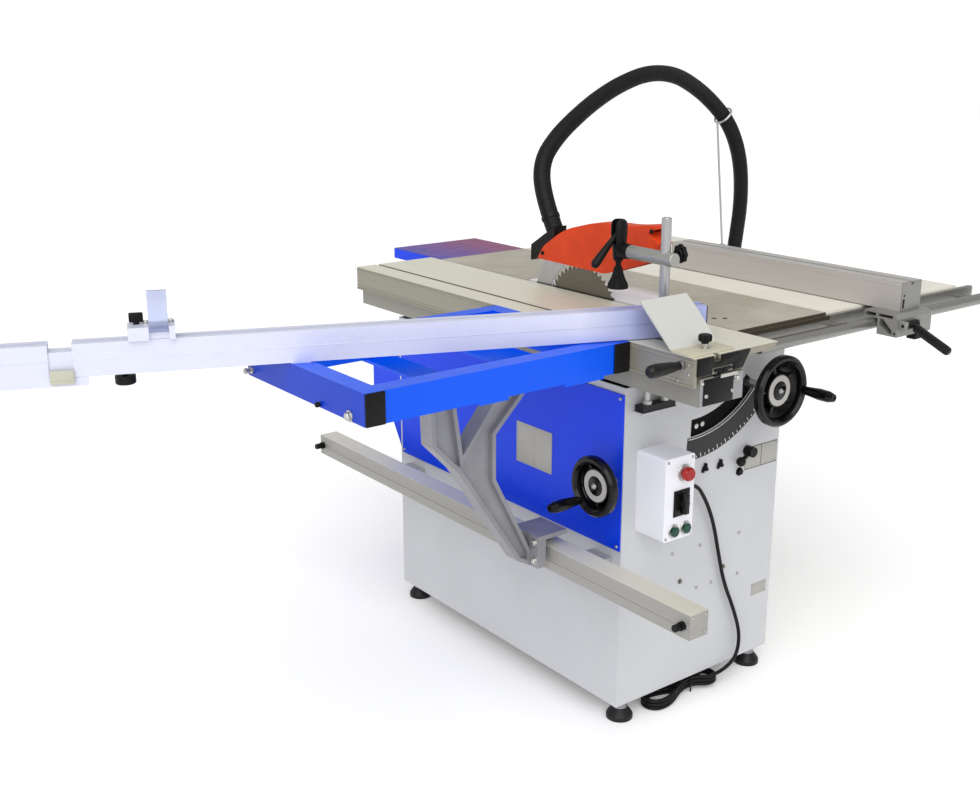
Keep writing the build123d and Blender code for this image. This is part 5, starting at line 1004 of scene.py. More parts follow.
def ribbed_tube(bm, long):
    """A straight corrugated tube along X: ribs outside, a plain bore inside."""
    count = round(long / HOSE_RIB_PITCH)
    pitch = long / count
    low = HOSE_R - HOSE_GROOVE
    outline = []
    for rib in range(count):
        start = rib * pitch
        outline += [(low, start), (low, start + RIB_START * pitch), (HOSE_R, start + RIB_TOP * pitch),
                    (HOSE_R, start + RIB_END * pitch)]
    outline.append((low, long))
    outline += [(HOSE_BORE, long - 2 * pitch * i) for i in range(count // 2)]
    outline += [(HOSE_BORE, 0.0), outline[0]]
    turned(bm, outline, (0, 0, 0), TO_RIGHT, HOSE_SIDES)


def add_hose_part(name, points):
    """One stretch of the hose, and its length in metres."""
    frames = line_frames(points)
    bm = bmesh.new()
    ribbed_tube(bm, frames[-1][0])
    bmesh.ops.remove_doubles(bm, verts=bm.verts, dist=WELD)
    bmesh.ops.recalc_face_normals(bm, faces=bm.faces)
    bend_along(bm, frames)
    return piece(name, bm, (hose_rubber, "hose_plastic"), None), frames[-1][0] * MM


def add_hose():
    """The hose in two parts that meet near HOSE_SPLIT, and a band at each of its ends."""
    points = line_points(HOSE_ROUTE)
    split = min(range(len(points)), key=lambda i: (points[i] - Vector(HOSE_SPLIT)).length)
    lower, lower_long = add_hose_part("dust_hose_lower", points[:split + 1])
    upper, upper_long = add_hose_part("dust_hose_upper", points[split:])
    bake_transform(lower)
    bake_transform(upper)
    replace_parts(upper, "dust_hose")
    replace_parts(lower, "dust_hose")
    cuffs = add_hose_cuffs(points)


CUFF_INNER, CUFF_OUTER = 21.3, 22.5
CUFF_START, CUFF_END = 4, 14
CUFF_EASE = 1
CUFF_STEPS = 36
GUARD_CUFF_FROM, PORT_CUFF_FROM = 22.0, 6.0


def add_cuff(name, foot, axis, look, body):
    """A band clamp round the hose's end."""
    bm = bmesh.new()
    eased = CUFF_OUTER - CUFF_EASE
    outline = [(CUFF_INNER, CUFF_START), (eased, CUFF_START), (CUFF_OUTER, CUFF_START + CUFF_EASE),
               (CUFF_OUTER, CUFF_END - CUFF_EASE), (eased, CUFF_END), (CUFF_INNER, CUFF_END),
               (CUFF_INNER, CUFF_START)]
    turned(bm, outline, foot, axis, CUFF_STEPS)
    return piece(name, bm, look, body)


def add_hose_cuffs(points):
    """The bands at the guard's spout and at the port of the rear hood."""
    lean = (points[1] - points[0]).normalized()
    port = Vector((corners("rear_hood")[1].x + PORT_CUFF_FROM, points[-1].y, points[-1].z))
    return [add_cuff("hose_band_guard", points[0] + lean * GUARD_CUFF_FROM, lean, BLACK_PART, "rise_unit"),
            add_cuff("hose_band_port", port, TO_RIGHT, STEEL_PART, "base")]


# Sliding table details

BEAM_LOW, BEAM_HIGH = corners("beam")
CARRIAGE_LOW, CARRIAGE_HIGH = corners("carriage")
BEAM_ENDS = ((BEAM_LOW.y, -1), (BEAM_HIGH.y, 1))
BEAM_TOP = 853.0
GUIDE_X = -161.0
CAP_THICK = 3.0
CAP_TOP, CAP_LOW = CARRIAGE_HIGH.z - 2.0, 858.5
CAP_LEFT, CAP_RIGHT_TOP, CAP_RIGHT_LOW = CARRIAGE_LOW.x + 7.0, -84.0, -106.0
T_SLOT_LEFT, T_SLOT_RIGHT, T_SLOT_DEPTH = -186.0, -166.0, 12.0
ARCH_LEFT, ARCH_RIGHT, ARCH_TOP = GUIDE_X - 30.0, GUIDE_X + 30.0, 870.5


def add_carriage_caps():
    """Black caps on both ends of the carriage, open for the T-slot above and the guide below."""
    bm = bmesh.new()
    slot_low = CAP_TOP - T_SLOT_DEPTH
    outline = [(CAP_LEFT, CAP_TOP), (T_SLOT_LEFT, CAP_TOP), (T_SLOT_LEFT, slot_low), (T_SLOT_RIGHT, slot_low),
               (T_SLOT_RIGHT, CAP_TOP), (CAP_RIGHT_TOP, CAP_TOP), (CAP_RIGHT_LOW, CAP_LOW),
               (ARCH_RIGHT, CAP_LOW), (ARCH_RIGHT, ARCH_TOP), (ARCH_LEFT, ARCH_TOP), (ARCH_LEFT, CAP_LOW),
               (CAP_LEFT, CAP_LOW)]
    for y, push in ((CARRIAGE_LOW.y, -CAP_THICK), (CARRIAGE_HIGH.y, CAP_THICK)):
        prism(bm, [(x, y, z) for x, z in outline], (0, push, 0), edge=0.7)
    piece("carriage_end_caps", bm, BLACK_PART, "sliding_table")


END_PLATE = ((BEAM_LOW.x + 1, BEAM_LOW.z + 1), (BEAM_HIGH.x - 1, BEAM_TOP - 1))
END_PLATE_THICK = 1.5
END_COVER = ((-213.0, 798.5), (-131.0, 851.0))
END_COVER_SCREWS = [(-207.5, 818.5), (-135.5, 818.5)]
END_BOLTS = [(-217.0, 844.0, 3.4), (-120.5, 841.0, 5.4)]
STOP_STRIP = ((-170.0, 848.5), (-123.0, 856.0))
STOP_STRIP_THICK = 1.6


def end_block(bm, low, high, y, way, thick, edge):
    """A plate on an end of the beam: its corners in X and Z, its foot in Y and the way it faces."""
    (x0, z0), (x1, z1) = low, high
    block(bm, (x0, min(y, y + way * thick), z0), (x1, max(y, y + way * thick), z1), edge)


def add_beam_ends():
    """On each end of the beam: a plain plate, a black cover with its screws, two bolts and a bright strip."""
    plates, covers, screws = bmesh.new(), bmesh.new(), bmesh.new()
    for y, way in BEAM_ENDS:
        end_block(plates, *END_PLATE, y, way, END_PLATE_THICK, edge=0.6)
        plate_y = y + way * END_PLATE_THICK
        end_block(covers, *END_COVER, plate_y, way, CAP_THICK, edge=1.3)
        cover_y = plate_y + way * CAP_THICK
        end_block(screws, *STOP_STRIP, cover_y, way, STOP_STRIP_THICK, edge=0.5)
        for x, z in END_COVER_SCREWS:
            dome_screw(screws, (x, cover_y, z), (0, way, 0), radius=4.4)
        for x, z, radius in END_BOLTS:
            hex_bolt(screws, (x, plate_y, z), (0, way, 0), radius)
    piece("beam_end_plates", plates, (beam_end_alloy, "alloy"), "base")
    piece("beam_end_caps", covers, BLACK_PART, "base")
    piece("beam_cap_screws", screws, STEEL_PART, "base")


STOP_THICK = 5.0
STOP_LAYERS = [(24.0, 853.2, 856.6), (12.5, 856.2, 863.0), (24.0, 862.4, 867.0)]
STOP_SCREW_Z = 862.5


def add_slide_stops():
    """A black stop plate with its bolt on each end of the guide."""
    bm = bmesh.new()
    for y, way in BEAM_ENDS:
        for half, low, high in STOP_LAYERS:
            end_block(bm, (GUIDE_X - half, low), (GUIDE_X + half, high), y, way, STOP_THICK, edge=0.5)
        dome_screw(bm, (GUIDE_X, y + way * STOP_THICK, STOP_SCREW_Z), (0, way, 0), radius=3.0)
    piece("slide_stops", bm, BLACK_PART, "base")


TUBE_WIDTH = 40.0
TUBE_LOW = FRAME_HIGH.z - 60.0
TUBE_CAP = 5.0


def add_frame_caps():
    """Plastic plugs in the open ends of the two long tubes."""
    bm = bmesh.new()
    for x in (FRAME_LOW.x, FRAME_HIGH.x - TUBE_WIDTH):
        for y0, y1 in ((FRAME_LOW.y - TUBE_CAP, FRAME_LOW.y), (FRAME_HIGH.y, FRAME_HIGH.y + TUBE_CAP)):
            block(bm, (x, y0, TUBE_LOW), (x + TUBE_WIDTH, y1, FRAME_HIGH.z), edge=1.8, segments=3)
    piece("frame_end_plugs", bm, BLACK_PART, "sliding_table")


FRAME_BOLT = (FRAME_LOW.x, FRAME_LOW.y + 49, TUBE_LOW + 9)
FRAME_EYE = (FRAME_LOW.x, FRAME_HIGH.y - 14, TUBE_LOW + 13)
FRAME_STUB = (FRAME_LOW.x, FRAME_LOW.y + 152, TUBE_LOW + 6)
EYE_OUTLINE = [(0, 0), (7, 0), (7, 3), (4, 5), (4, 9), (6, 11), (6, 16), (4, 18), (0, 18.5)]
STUB_OUTLINE = [(0, 0), (4, 0), (4, 2), (5, 3), (5, 7), (4, 9), (0, 9)]


def add_frame_fittings():
    """Fittings on the outer tube: an eye bolt at the back, a bolt in front and a rubber stub."""
    bm = bmesh.new()
    hex_bolt(bm, FRAME_BOLT, TO_LEFT, radius=8)
    turned(bm, EYE_OUTLINE, FRAME_EYE, TO_LEFT)
    piece("frame_bolts", bm, STEEL_PART, "sliding_table")
    stub = bmesh.new()
    turned(stub, STUB_OUTLINE, FRAME_STUB, TO_LEFT)
    piece("frame_stub", stub, RUBBER_PART, "sliding_table")


RAIL_MIDDLE = (RAIL_LOW.z + RAIL_HIGH.z) / 2
RAIL_STRIP_HALF = 4.8
RAIL_STRIP_DEPTH = (0.6, 3.0)


def add_rail_strip():
    """The cover strip in the groove of the lower rail."""
    front, back = RAIL_STRIP_DEPTH
    bm = bmesh.new()
    block(bm, (RAIL_LOW.x + front, RAIL_LOW.y, RAIL_MIDDLE - RAIL_STRIP_HALF),
          (RAIL_LOW.x + back, RAIL_HIGH.y, RAIL_MIDDLE + RAIL_STRIP_HALF), edge=0.4)
    piece("rail_groove_strip", bm, (alloy_rail, "alloy"), "base")


RAIL_BOLTS = (RAIL_LOW.y + 16, RAIL_HIGH.y - 14)
RAIL_BOLT_OUTLINE = [(0, 0), (9, 0), (9, 9), (5.5, 9.5), (5.5, 12), (7.5, 12.5), (7.5, 23), (6, 25), (0, 25)]
RAIL_PLATE = ((RAIL_LOW.x, RAIL_LOW.z), (RAIL_HIGH.x, RAIL_HIGH.z))
RAIL_PLATE_THICK = 2.0
RAIL_SCREWS = inset_corners(*RAIL_PLATE, 8.0)


def add_rail_stops():
    """A stop bolt near each end of the lower rail, and a plain end plate with four screws on each end."""
    bolts, plates, screws = bmesh.new(), bmesh.new(), bmesh.new()
    for y in RAIL_BOLTS:
        turned(bolts, RAIL_BOLT_OUTLINE, (RAIL_LOW.x, y, RAIL_MIDDLE), TO_LEFT, steps=24)
    for y, way in ((RAIL_LOW.y, -1), (RAIL_HIGH.y, 1)):
        end_block(plates, *RAIL_PLATE, y, way, RAIL_PLATE_THICK, edge=0.7)
        for x, z in RAIL_SCREWS:
            dome_screw(screws, (x, y + way * RAIL_PLATE_THICK, z), (0, way, 0), radius=3.0)
    piece("rail_stop_bolts", bolts, BLACK_PART, "base")
    piece("rail_end_plates", plates, (alloy_rail, "alloy"), "base")
    piece("rail_end_screws", screws, STEEL_PART, "base")


SKIRT_RIDGES = [(886.0, 889.5, 1.2), (846.0, 848.5, 1.0), (838.0, 841.0, 1.6)]
SKIRT_SCREWS = [(CARRIAGE_LOW.x, y, z) for y, z in ((-586, 881), (-586, 862), (-560, 845))]


def add_carriage_ridges():
    """The ridges along the carriage's left side, and the screws near its front end."""
    bm = bmesh.new()
    for low, high, rise in SKIRT_RIDGES:
        block(bm, (CARRIAGE_LOW.x - rise, CARRIAGE_LOW.y, low), (CARRIAGE_LOW.x, CARRIAGE_HIGH.y, high),
              edge=0.35)
    piece("carriage_ridges", bm, (carriage_alloy, "alloy"), "sliding_table")
    grouped("carriage_side_screws", STEEL_PART, "sliding_table", dome_screw, SKIRT_SCREWS, TO_LEFT,
            radius=3.4)


BRACKET_FACE = -348.0
BRACKET_BOLTS = [(BRACKET_FACE, y, z) for y in (-271, -205) for z in (443, 402)]


def add_bracket_bolts():
    """Bolts on the bracket at the foot of the strut."""
    grouped("bracket_bolts", STEEL_PART, "sliding_table", hex_bolt, BRACKET_BOLTS, TO_LEFT, radius=6.5)


# Control box details

BOX_LOW, BOX_HIGH = corners("control_box")
BOX_SCREW_INSET = 7.5


def add_box_screws():
    """The four screws of the control box's lid."""
    seen = inset_corners((BOX_LOW.x, BOX_LOW.z), (BOX_HIGH.x, BOX_HIGH.z), BOX_SCREW_INSET)
    spots = [(x, BOX_LOW.y, z) for x, z in seen]
    grouped("control_box_screws", STEEL_PART, "base", dome_screw, spots, TO_FRONT, radius=3.2)


def face_middle(node):
    """The middle of a node as seen from the front, in X and Z."""
    low, high = corners(node)
    return (low.x + high.x) / 2, (low.z + high.z) / 2


SWITCH_PLATE = (46.0, 58.0, 2.2)
SWITCH_HOLE, SWITCH_LAP = 5.5, 6.0
SWITCH_RING_R, SWITCH_RING_RISE = 14.0, 0.2
SELECTOR_BAR = (14.0, 44.0)
SELECTOR_NEAR, SELECTOR_FAR = 1.2, 17.0


def add_switch_plate():
    """The black escutcheon behind the selector, and the bar that the fingers turn."""
    x, z = face_middle("selector_knob")
    wide, high, thick = SWITCH_PLATE
    half_x, half_z = wide / 2, high / 2
    front = BOX_LOW.y - thick
    bm = bmesh.new()
    for x0, x1, z0, z1 in ((-half_x, -SWITCH_HOLE, -half_z, half_z), (SWITCH_HOLE, half_x, -half_z, half_z),
                           (-SWITCH_LAP, SWITCH_LAP, SWITCH_HOLE, half_z),
                           (-SWITCH_LAP, SWITCH_LAP, -half_z, -SWITCH_HOLE)):
        block(bm, (x + x0, front, z + z0), (x + x1, BOX_LOW.y, z + z1), edge=0.6)
    ring(bm, (x, BOX_LOW.y, z), TO_FRONT, SWITCH_HOLE, SWITCH_RING_R, thick + SWITCH_RING_RISE)
    piece("switch_plate", bm, BLACK_PART, "base")
    bar = bmesh.new()
    wide, high = SELECTOR_BAR
    block(bar, (x - wide / 2, front - SELECTOR_FAR, z - high / 2),
          (x + wide / 2, front - SELECTOR_NEAR, z + high / 2), edge=2.5, segments=3)
    piece("selector_bar", bar, GLOSS_PART, "selector")


BEZELS = {"estop_button": (3.4, 3.4), "start_button_left": (4.0, 2.6), "start_button_right": (4.0, 2.6)}
BEZEL_ROOM = 0.4


def add_bezels():
    """Bright collars round the push buttons."""
    bm = bmesh.new()
    for node, (wide, high) in BEZELS.items():
        x, z = face_middle(node)
        low, top = corners(node)
        inner = (top.x - low.x) / 2 + BEZEL_ROOM
        ring(bm, (x, BOX_LOW.y, z), TO_FRONT, inner, inner + wide, high, edge=1.2)
    piece("button_bezels", bm, STEEL_PART, "base")


# Front panel details

PANEL_Y = -376.0
TILT_AXIS_X = 6.0
TILT_AXIS_Z = 895.0
SCALE_FRONT = -378.5
SCALE_STEP = 2.5
SCALE_LAST = 45.0
TICK_OUTER = 310.5
TICK_LONG, TICK_SHORT = 9.0, 5.0
TICK_WIDTH, TICK_RISE = 1.6, 0.4


def add_scale_ticks():
    """White marks along the outer edge of the angle scale, longer at every fifth degree."""
    bm = bmesh.new()
    count = round(SCALE_LAST / SCALE_STEP)
    for i in range(count + 1):
        angle = math.radians(i * SCALE_STEP)
        long = TICK_SHORT if i % 2 else TICK_LONG
        before = set(bm.verts)
        block(bm, (-TICK_WIDTH / 2, SCALE_FRONT - TICK_RISE, -TICK_OUTER),
              (TICK_WIDTH / 2, SCALE_FRONT, long - TICK_OUTER), edge=0.15)
        new = list(set(bm.verts) - before)
        bmesh.ops.rotate(bm, cent=(0, 0, 0), matrix=Matrix.Rotation(-angle, 3, "Y"), verts=new)
        bmesh.ops.translate(bm, vec=(TILT_AXIS_X, 0, TILT_AXIS_Z), verts=new)
    piece("scale_ticks", bm, (white_mark, "dark_plate"), "base")


BORDER_INNER, BORDER_OUTER = 263.0, 265.0
BORDER_RISE = 0.6
BORDER_START, BORDER_END = -3.0, 50.0


def add_scale_border():
    """A bright line along the upper edge of the scale."""
    bm = bmesh.new()
    sector(bm, BORDER_INNER, BORDER_OUTER, SCALE_FRONT, SCALE_FRONT - BORDER_RISE, BORDER_START, BORDER_END)
    bmesh.ops.translate(bm, vec=(TILT_AXIS_X, 0, TILT_AXIS_Z), verts=bm.verts)
    piece("scale_border", bm, (screw_steel, "dark_plate"), "base")


SHIELD_INNER, SHIELD_OUTER = 212.0, 266.0
SHIELD_BACK, SHIELD_FRONT = -369.6, -371.2
SHIELD_START, SHIELD_END = -2.2, 76.0
SHAFT_ARC_R = 240.0
SHAFT_ANGLE = 46.5
SHAFT_ROOM = 2.8
SHIELD_BOLTS = (4.0, 8.5)
SHIELD_BOLT_OUTLINE = [(0, 0), (6, 0), (6, 0.9), (4.8, 1.5), (0, 1.5)]


def add_slot_shield():
    """The black plate that closes the arc slot from behind and tilts with the shaft, with its two bolts."""
    bm = bmesh.new()
    for start, end in ((SHIELD_START, SHAFT_ANGLE - SHAFT_ROOM), (SHAFT_ANGLE + SHAFT_ROOM, SHIELD_END)):
        sector(bm, SHIELD_INNER, SHIELD_OUTER, SHIELD_BACK, SHIELD_FRONT, start, end)
    bmesh.ops.translate(bm, vec=(TILT_AXIS_X, 0, TILT_AXIS_Z), verts=bm.verts)
    piece("slot_shield", bm, (deep_black, "black_plastic"), "tilt_unit")
    bolts = bmesh.new()
    for angle in SHIELD_BOLTS:
        x = TILT_AXIS_X + SHAFT_ARC_R * math.sin(math.radians(angle))
        z = TILT_AXIS_Z - SHAFT_ARC_R * math.cos(math.radians(angle))
        turned(bolts, SHIELD_BOLT_OUTLINE, (x, SHIELD_FRONT, z), TO_FRONT, steps=20)
    piece("slot_shield_bolts", bolts, STEEL_PART, "tilt_unit")


PANEL_PLATES = [((183, 520), (293, 573)), ((234, 191), (285, 221))]
PLATE_THICK = 0.8
PLATE_RIVET_INSET = 4
PLATE_LINE = 1.3
PLATE_LINE_RISE = 0.25


def add_front_plates():
    """Two plain plates with a rivet at each corner; dark lines frame the larger one and part it."""
    bm = bmesh.new()
    front = PANEL_Y - PLATE_THICK
    for low, high in PANEL_PLATES:
        block(bm, (low[0], front, low[1]), (high[0], PANEL_Y, high[1]), edge=0.25)
        for x, z in inset_corners(low, high, PLATE_RIVET_INSET):
            dome_screw(bm, (x, front, z), TO_FRONT, radius=1.6)
    piece("front_blank_plates", bm, (blank_plate, "dark_plate"), "base")
    lines = bmesh.new()
    (x0, z0), (x1, z1) = PANEL_PLATES[0]
    middle = (x0 + x1) / 2
    for low, high in (((x0, z0), (x1, z0 + PLATE_LINE)), ((x0, z1 - PLATE_LINE), (x1, z1)),
                      ((middle - PLATE_LINE / 2, z0), (middle + PLATE_LINE / 2, z1))):
        block(lines, (low[0], front - PLATE_LINE_RISE, low[1]), (high[0], front, high[1]), edge=0.08)
    piece("front_plate_lines", lines, (dark_plate, "dark_plate"), "base")


PANEL_CLIPS = [(49, 554), (98, 553)]
PANEL_BOLT = (166, PANEL_Y, 521)
CATCH_OUTLINE = [(0, 0), (6.5, 0), (6.5, 3), (5, 5), (5, 9), (3.5, 11), (0, 11)]
CATCH_BLOCKS = [((-2.4, -9, 3), (2.4, -1, 13)), ((-9, -5, -9), (-2, -1, -2))]


def add_front_clips():
    """Two small black catches and a bolt on the front panel."""
    bm = bmesh.new()
    for x, z in PANEL_CLIPS:
        foot = Vector((x, PANEL_Y, z))
        turned(bm, CATCH_OUTLINE, foot, TO_FRONT, steps=20)
        for low, high in CATCH_BLOCKS:
            block(bm, foot + Vector(low), foot + Vector(high), edge=1.0)
    hex_bolt(bm, PANEL_BOLT, TO_FRONT, radius=7.5)
    piece("front_catches", bm, BLACK_PART, "base")


RIVET_SPOTS = ((48, 370), (-41, 372), (178, 368), (42, 268), (91, 267), (180, 265))
PANEL_RIVETS = [(x, PANEL_Y, z) for x, z in RIVET_SPOTS]
PANEL_ZINC = [(129, PANEL_Y, 296), (-12, PANEL_Y, 298)]


def add_front_rivets():
    """Rivets and two zinc-plated bolts on the front panel."""
    grouped("front_rivets", STEEL_PART, "base", dome_screw, PANEL_RIVETS, TO_FRONT, radius=4.0)
    grouped("front_zinc_bolts", (zinc_plate, "steel"), "base", hex_bolt, PANEL_ZINC, TO_FRONT, radius=4.2)


# Side cover details

COVER_LOW, COVER_HIGH = corners("side_cover")
COVER_SCREW_INSET = 9.0
COVER_PLATE = ((-149, 528), (-23, 625))
COVER_PLATE_SPLIT = 578.0
COVER_FRAME_INSET = 2
COVER_LINE_HALF, COVER_LINE_RISE = 0.8, 0.3


def add_cover_details():
    """The screws of the side cover, and a plain plate parted by raised lines."""
    rows = (COVER_LOW.y + COVER_SCREW_INSET, (COVER_LOW.y + COVER_HIGH.y) / 2,
            COVER_HIGH.y - COVER_SCREW_INSET)
    levels = (COVER_LOW.z + COVER_SCREW_INSET, COVER_HIGH.z - COVER_SCREW_INSET)
    spots = [(COVER_LOW.x, y, z) for y in rows for z in levels]
    grouped("side_cover_screws", STEEL_PART, "base", dome_screw, spots, TO_LEFT, radius=4.0)
    plate = bmesh.new()
    face = COVER_LOW.x - PLATE_THICK
    (y0, z0), (y1, z1) = COVER_PLATE
    block(plate, (face, y0, z0), (COVER_LOW.x, y1, z1), edge=0.25)
    left, right = y0 + COVER_FRAME_INSET, y1 - COVER_FRAME_INSET
    low, high = z0 + COVER_FRAME_INSET, z1 - COVER_FRAME_INSET
    lines = [(y - COVER_LINE_HALF, low, y + COVER_LINE_HALF, high) for y in (left, (y0 + y1) / 2, right)]
    lines += [(left, z - COVER_LINE_HALF, right, z + COVER_LINE_HALF) for z in (low, COVER_PLATE_SPLIT, high)]
    for line_y0, line_z0, line_y1, line_z1 in lines:
        block(plate, (face - COVER_LINE_RISE, line_y0, line_z0), (face, line_y1, line_z1), edge=0.1)
    piece("side_blank_plate", plate, (blank_plate, "dark_plate"), "base")


# Hand wheel details

DIAL_INNER, DIAL_OUTER, DIAL_THICK = 21.5, 34.5, 1.6
HUB_CAP_OUTLINE = [(0, 0), (20.5, 0), (20.5, 2), (18, 3.5), (0, 3.5)]
HUB_CAP_RISE = 3.5
SPOKES = 5
SPOKE_START = 0.35
SPOKE_WIDTH = 9.0
SPOKE_INNER = 36.0
SPOKE_SHORT_OF_RIM = 14.0
SPOKE_LOW, SPOKE_HIGH = -14.0, -3.0


def add_wheel_details(name, centre, axis, radius, body):
    """The dial ring, its hub cap with a bolt, and the spokes between dial and rim."""
    axis, centre = Vector(axis), Vector(centre)
    dial, cap, spokes, bolt = bmesh.new(), bmesh.new(), bmesh.new(), bmesh.new()
    ring(dial, centre, axis, DIAL_INNER, DIAL_OUTER, DIAL_THICK)
    turned(cap, HUB_CAP_OUTLINE, centre, axis, steps=32)
    hex_bolt(bolt, centre + axis * HUB_CAP_RISE, axis, radius=4.5)
    side = axis.orthogonal().normalized()
    other = axis.cross(side)
    for i in range(SPOKES):
        angle = 2 * math.pi * (i + SPOKE_START) / SPOKES
        out = side * math.cos(angle) + other * math.sin(angle)
        before = set(spokes.verts)
        block(spokes, (SPOKE_INNER, -SPOKE_WIDTH / 2, SPOKE_LOW),
              (radius - SPOKE_SHORT_OF_RIM, SPOKE_WIDTH / 2, SPOKE_HIGH), edge=3.0, segments=3)
        turn = Matrix((out, axis.cross(out), axis)).transposed()
        new = list(set(spokes.verts) - before)
        bmesh.ops.transform(spokes, matrix=Matrix.Translation(centre) @ turn.to_4x4(), verts=new)
    piece(name + "_dial", dial, (dial_grey, "grey_paint"), body)
    piece(name + "_spokes", spokes, GLOSS_PART, body)
    piece(name + "_cap", cap, GLOSS_PART, body)
    piece(name + "_bolt", bolt, STEEL_PART, body)


HEIGHT_AXIS = (180.1, -464.0, 729.8)
HEIGHT_WHEEL_R = 80.0
TILT_AXIS = (-254.0, -354.0, 574.0)
TILT_WHEEL_R = 65.5


# Fence, stop, shoe and clamp details

FENCE_CORNER = Vector((-82.3, -481.0, 0.0))
FENCE_LOW_Z = 897.0
FENCE_END_CAP = ((0, 1, 898.0), (CAP_THICK, 39.0, 956.0))
FENCE_LEFT = -1210.0
JOINT_LEFT, JOINT_RIGHT = FENCE_LEFT - 40, FENCE_LEFT + 1
JOINT_LOW = FENCE_LOW_Z - 9
JOINT_BODY = ((JOINT_LEFT, -9, JOINT_LOW), (JOINT_RIGHT, -0.6, FENCE_LOW_Z + 15))
JOINT_LIP = ((JOINT_LEFT, -10, JOINT_LOW), (JOINT_RIGHT, -8.6, FENCE_LOW_Z - 4))
UNDER_KNOB = (FENCE_LEFT + 86, 20, FENCE_LOW_Z)
UNDER_KNOB_OUTLINE = [(0, 0), (5, 0), (5, -5), (18, -6), (18.5, -8), (18.5, -20), (17, -22), (0, -22)]


def lay_on_fence(bm):
    """Turns and moves a shape that was drawn square to the fence's right front corner."""
    bmesh.ops.rotate(bm, cent=(0, 0, 0), matrix=Matrix.Rotation(-FENCE_TURN, 3, "Z"), verts=bm.verts)
    bmesh.ops.translate(bm, vec=FENCE_CORNER, verts=bm.verts)
    return bm


def add_fence_details():
    """The fence's end cap, the block at the joint with its extension, and the knob below it."""
    cap, joint, knob = bmesh.new(), bmesh.new(), bmesh.new()
    block(cap, *FENCE_END_CAP, edge=1.0)
    block(joint, *JOINT_BODY, edge=1.5)
    block(joint, *JOINT_LIP, edge=0.5)
    turned(knob, UNDER_KNOB_OUTLINE, UNDER_KNOB, UPWARD, steps=32)
    piece("fence_end_cap", lay_on_fence(cap), BLACK_PART, "mitre_fence")
    piece("fence_joint_block", lay_on_fence(joint), (beige_block, "alloy"), "mitre_fence")
    piece("fence_under_knob", lay_on_fence(knob), BLACK_PART, "mitre_fence")


RIDGE_LOW, RIDGE_HIGH, RIDGE_RISE = 926.0, 928.2, 0.5
RIDGES = [("fence_ridge", FENCE_LEFT, -1.0, "mitre_fence"),
          ("extension_ridge", FENCE_LEFT - 460.0, FENCE_LEFT - 41.0, "fence_slide")]


def add_fence_ridges():
    """The fine ridge along the front of the fence and of its extension."""
    for name, x0, x1, body in RIDGES:
        bm = bmesh.new()
        block(bm, (x0, -RIDGE_RISE, RIDGE_LOW), (x1, 0, RIDGE_HIGH), edge=0.2)
        piece(name, lay_on_fence(bm), (alloy_fence, "alloy"), body)


STOP_TOP = corners("flip_stop")[1].z
STOP_KNOB = (-1098.0, 24.0)
STOP_KNOB_SIZE = (25.0, 9.0)
STOP_WING_LOW, STOP_WING_TOP = STOP_TOP + 3.5, STOP_TOP + 21.0
STOP_STEM_OUTLINE = [(0, 0), (6, 0), (5, 4), (0, 4)]
STOP_SCREWS = [(-1082, 27, STOP_TOP), (-1038, 27, STOP_TOP)]


def add_stop_knob():
    """The flat wing knob of the stop, and the two hinge screws."""
    bm = bmesh.new()
    x, y = STOP_KNOB
    long, wide = STOP_KNOB_SIZE
    turned(bm, STOP_STEM_OUTLINE, (x, y, STOP_TOP), UPWARD, steps=20)
    block(bm, (x - long / 2, y - wide / 2, STOP_WING_LOW), (x + long / 2, y + wide / 2, STOP_WING_TOP),
          edge=2.5, segments=3)
    piece("stop_knob", lay_on_fence(bm), BLACK_PART, "stop_block")
    hinge = bmesh.new()
    for spot in STOP_SCREWS:
        hex_bolt(hinge, spot, UPWARD, radius=5)
    piece("stop_screws", lay_on_fence(hinge), STEEL_PART, "stop_block")


SHOE_LOW, SHOE_HIGH = corners("edging_shoe")
SHOE_THICK = 5.0
SHOE_BEND_Y = -542.5
SHOE_TOP_Y = -446.5
SHOE_PLATE = 4.0
SHOE_LIFT = 0.1
SHOE_LAP = 1.5
SHOE_LEFT_EDGE = [(-240.0, 0.0), (-234.0, 1.0)]
SHOE_RIGHT_EDGE = [(-106.0, 1.0), (-106.0, 0.76), (-106.5, 0.6), (-109.0, 0.44), (-110.5, 0.27),
                   (-114.0, 0.14), (-121.0, 0.0)]


def add_shoe_plate():
    """The bent plate of the shoe: a flat foot and a wide sloping wing with a waved right edge."""
    bm = bmesh.new()
    low = SHOE_LOW.z + SHOE_THICK
    rise = Vector((0, SHOE_TOP_Y - SHOE_BEND_Y, SHOE_HIGH.z - SHOE_THICK - low))
    back = Vector((0, rise.z, -rise.y)).normalized() * SHOE_PLATE
    edge = SHOE_LEFT_EDGE + SHOE_RIGHT_EDGE
    start = Vector((0, SHOE_BEND_Y, low))
    prism(bm, [Vector((x, 0, 0)) + start + rise * share for x, share in edge], back, edge=0.7)
    block(bm, (SHOE_LOW.x, SHOE_LOW.y, SHOE_LOW.z + SHOE_LIFT),
          (SHOE_RIGHT_EDGE[-1][0], SHOE_BEND_Y + SHOE_LAP, low), edge=0.6)
    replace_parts(piece("shoe_plate", bm, (shoe_paint, "alloy"), "shoe"), "edging_shoe")


SHOE_KNOB = Vector((-172.0, -563.0, SHOE_LOW.z + SHOE_THICK))
SHOE_KNOB_LIFT = Vector((0, 0, 8.5))
SHOE_COLLAR_OUTLINE = [(0, 0), (11, 0), (11, 1.6), (7.5, 2), (7.5, 9), (0, 9)]


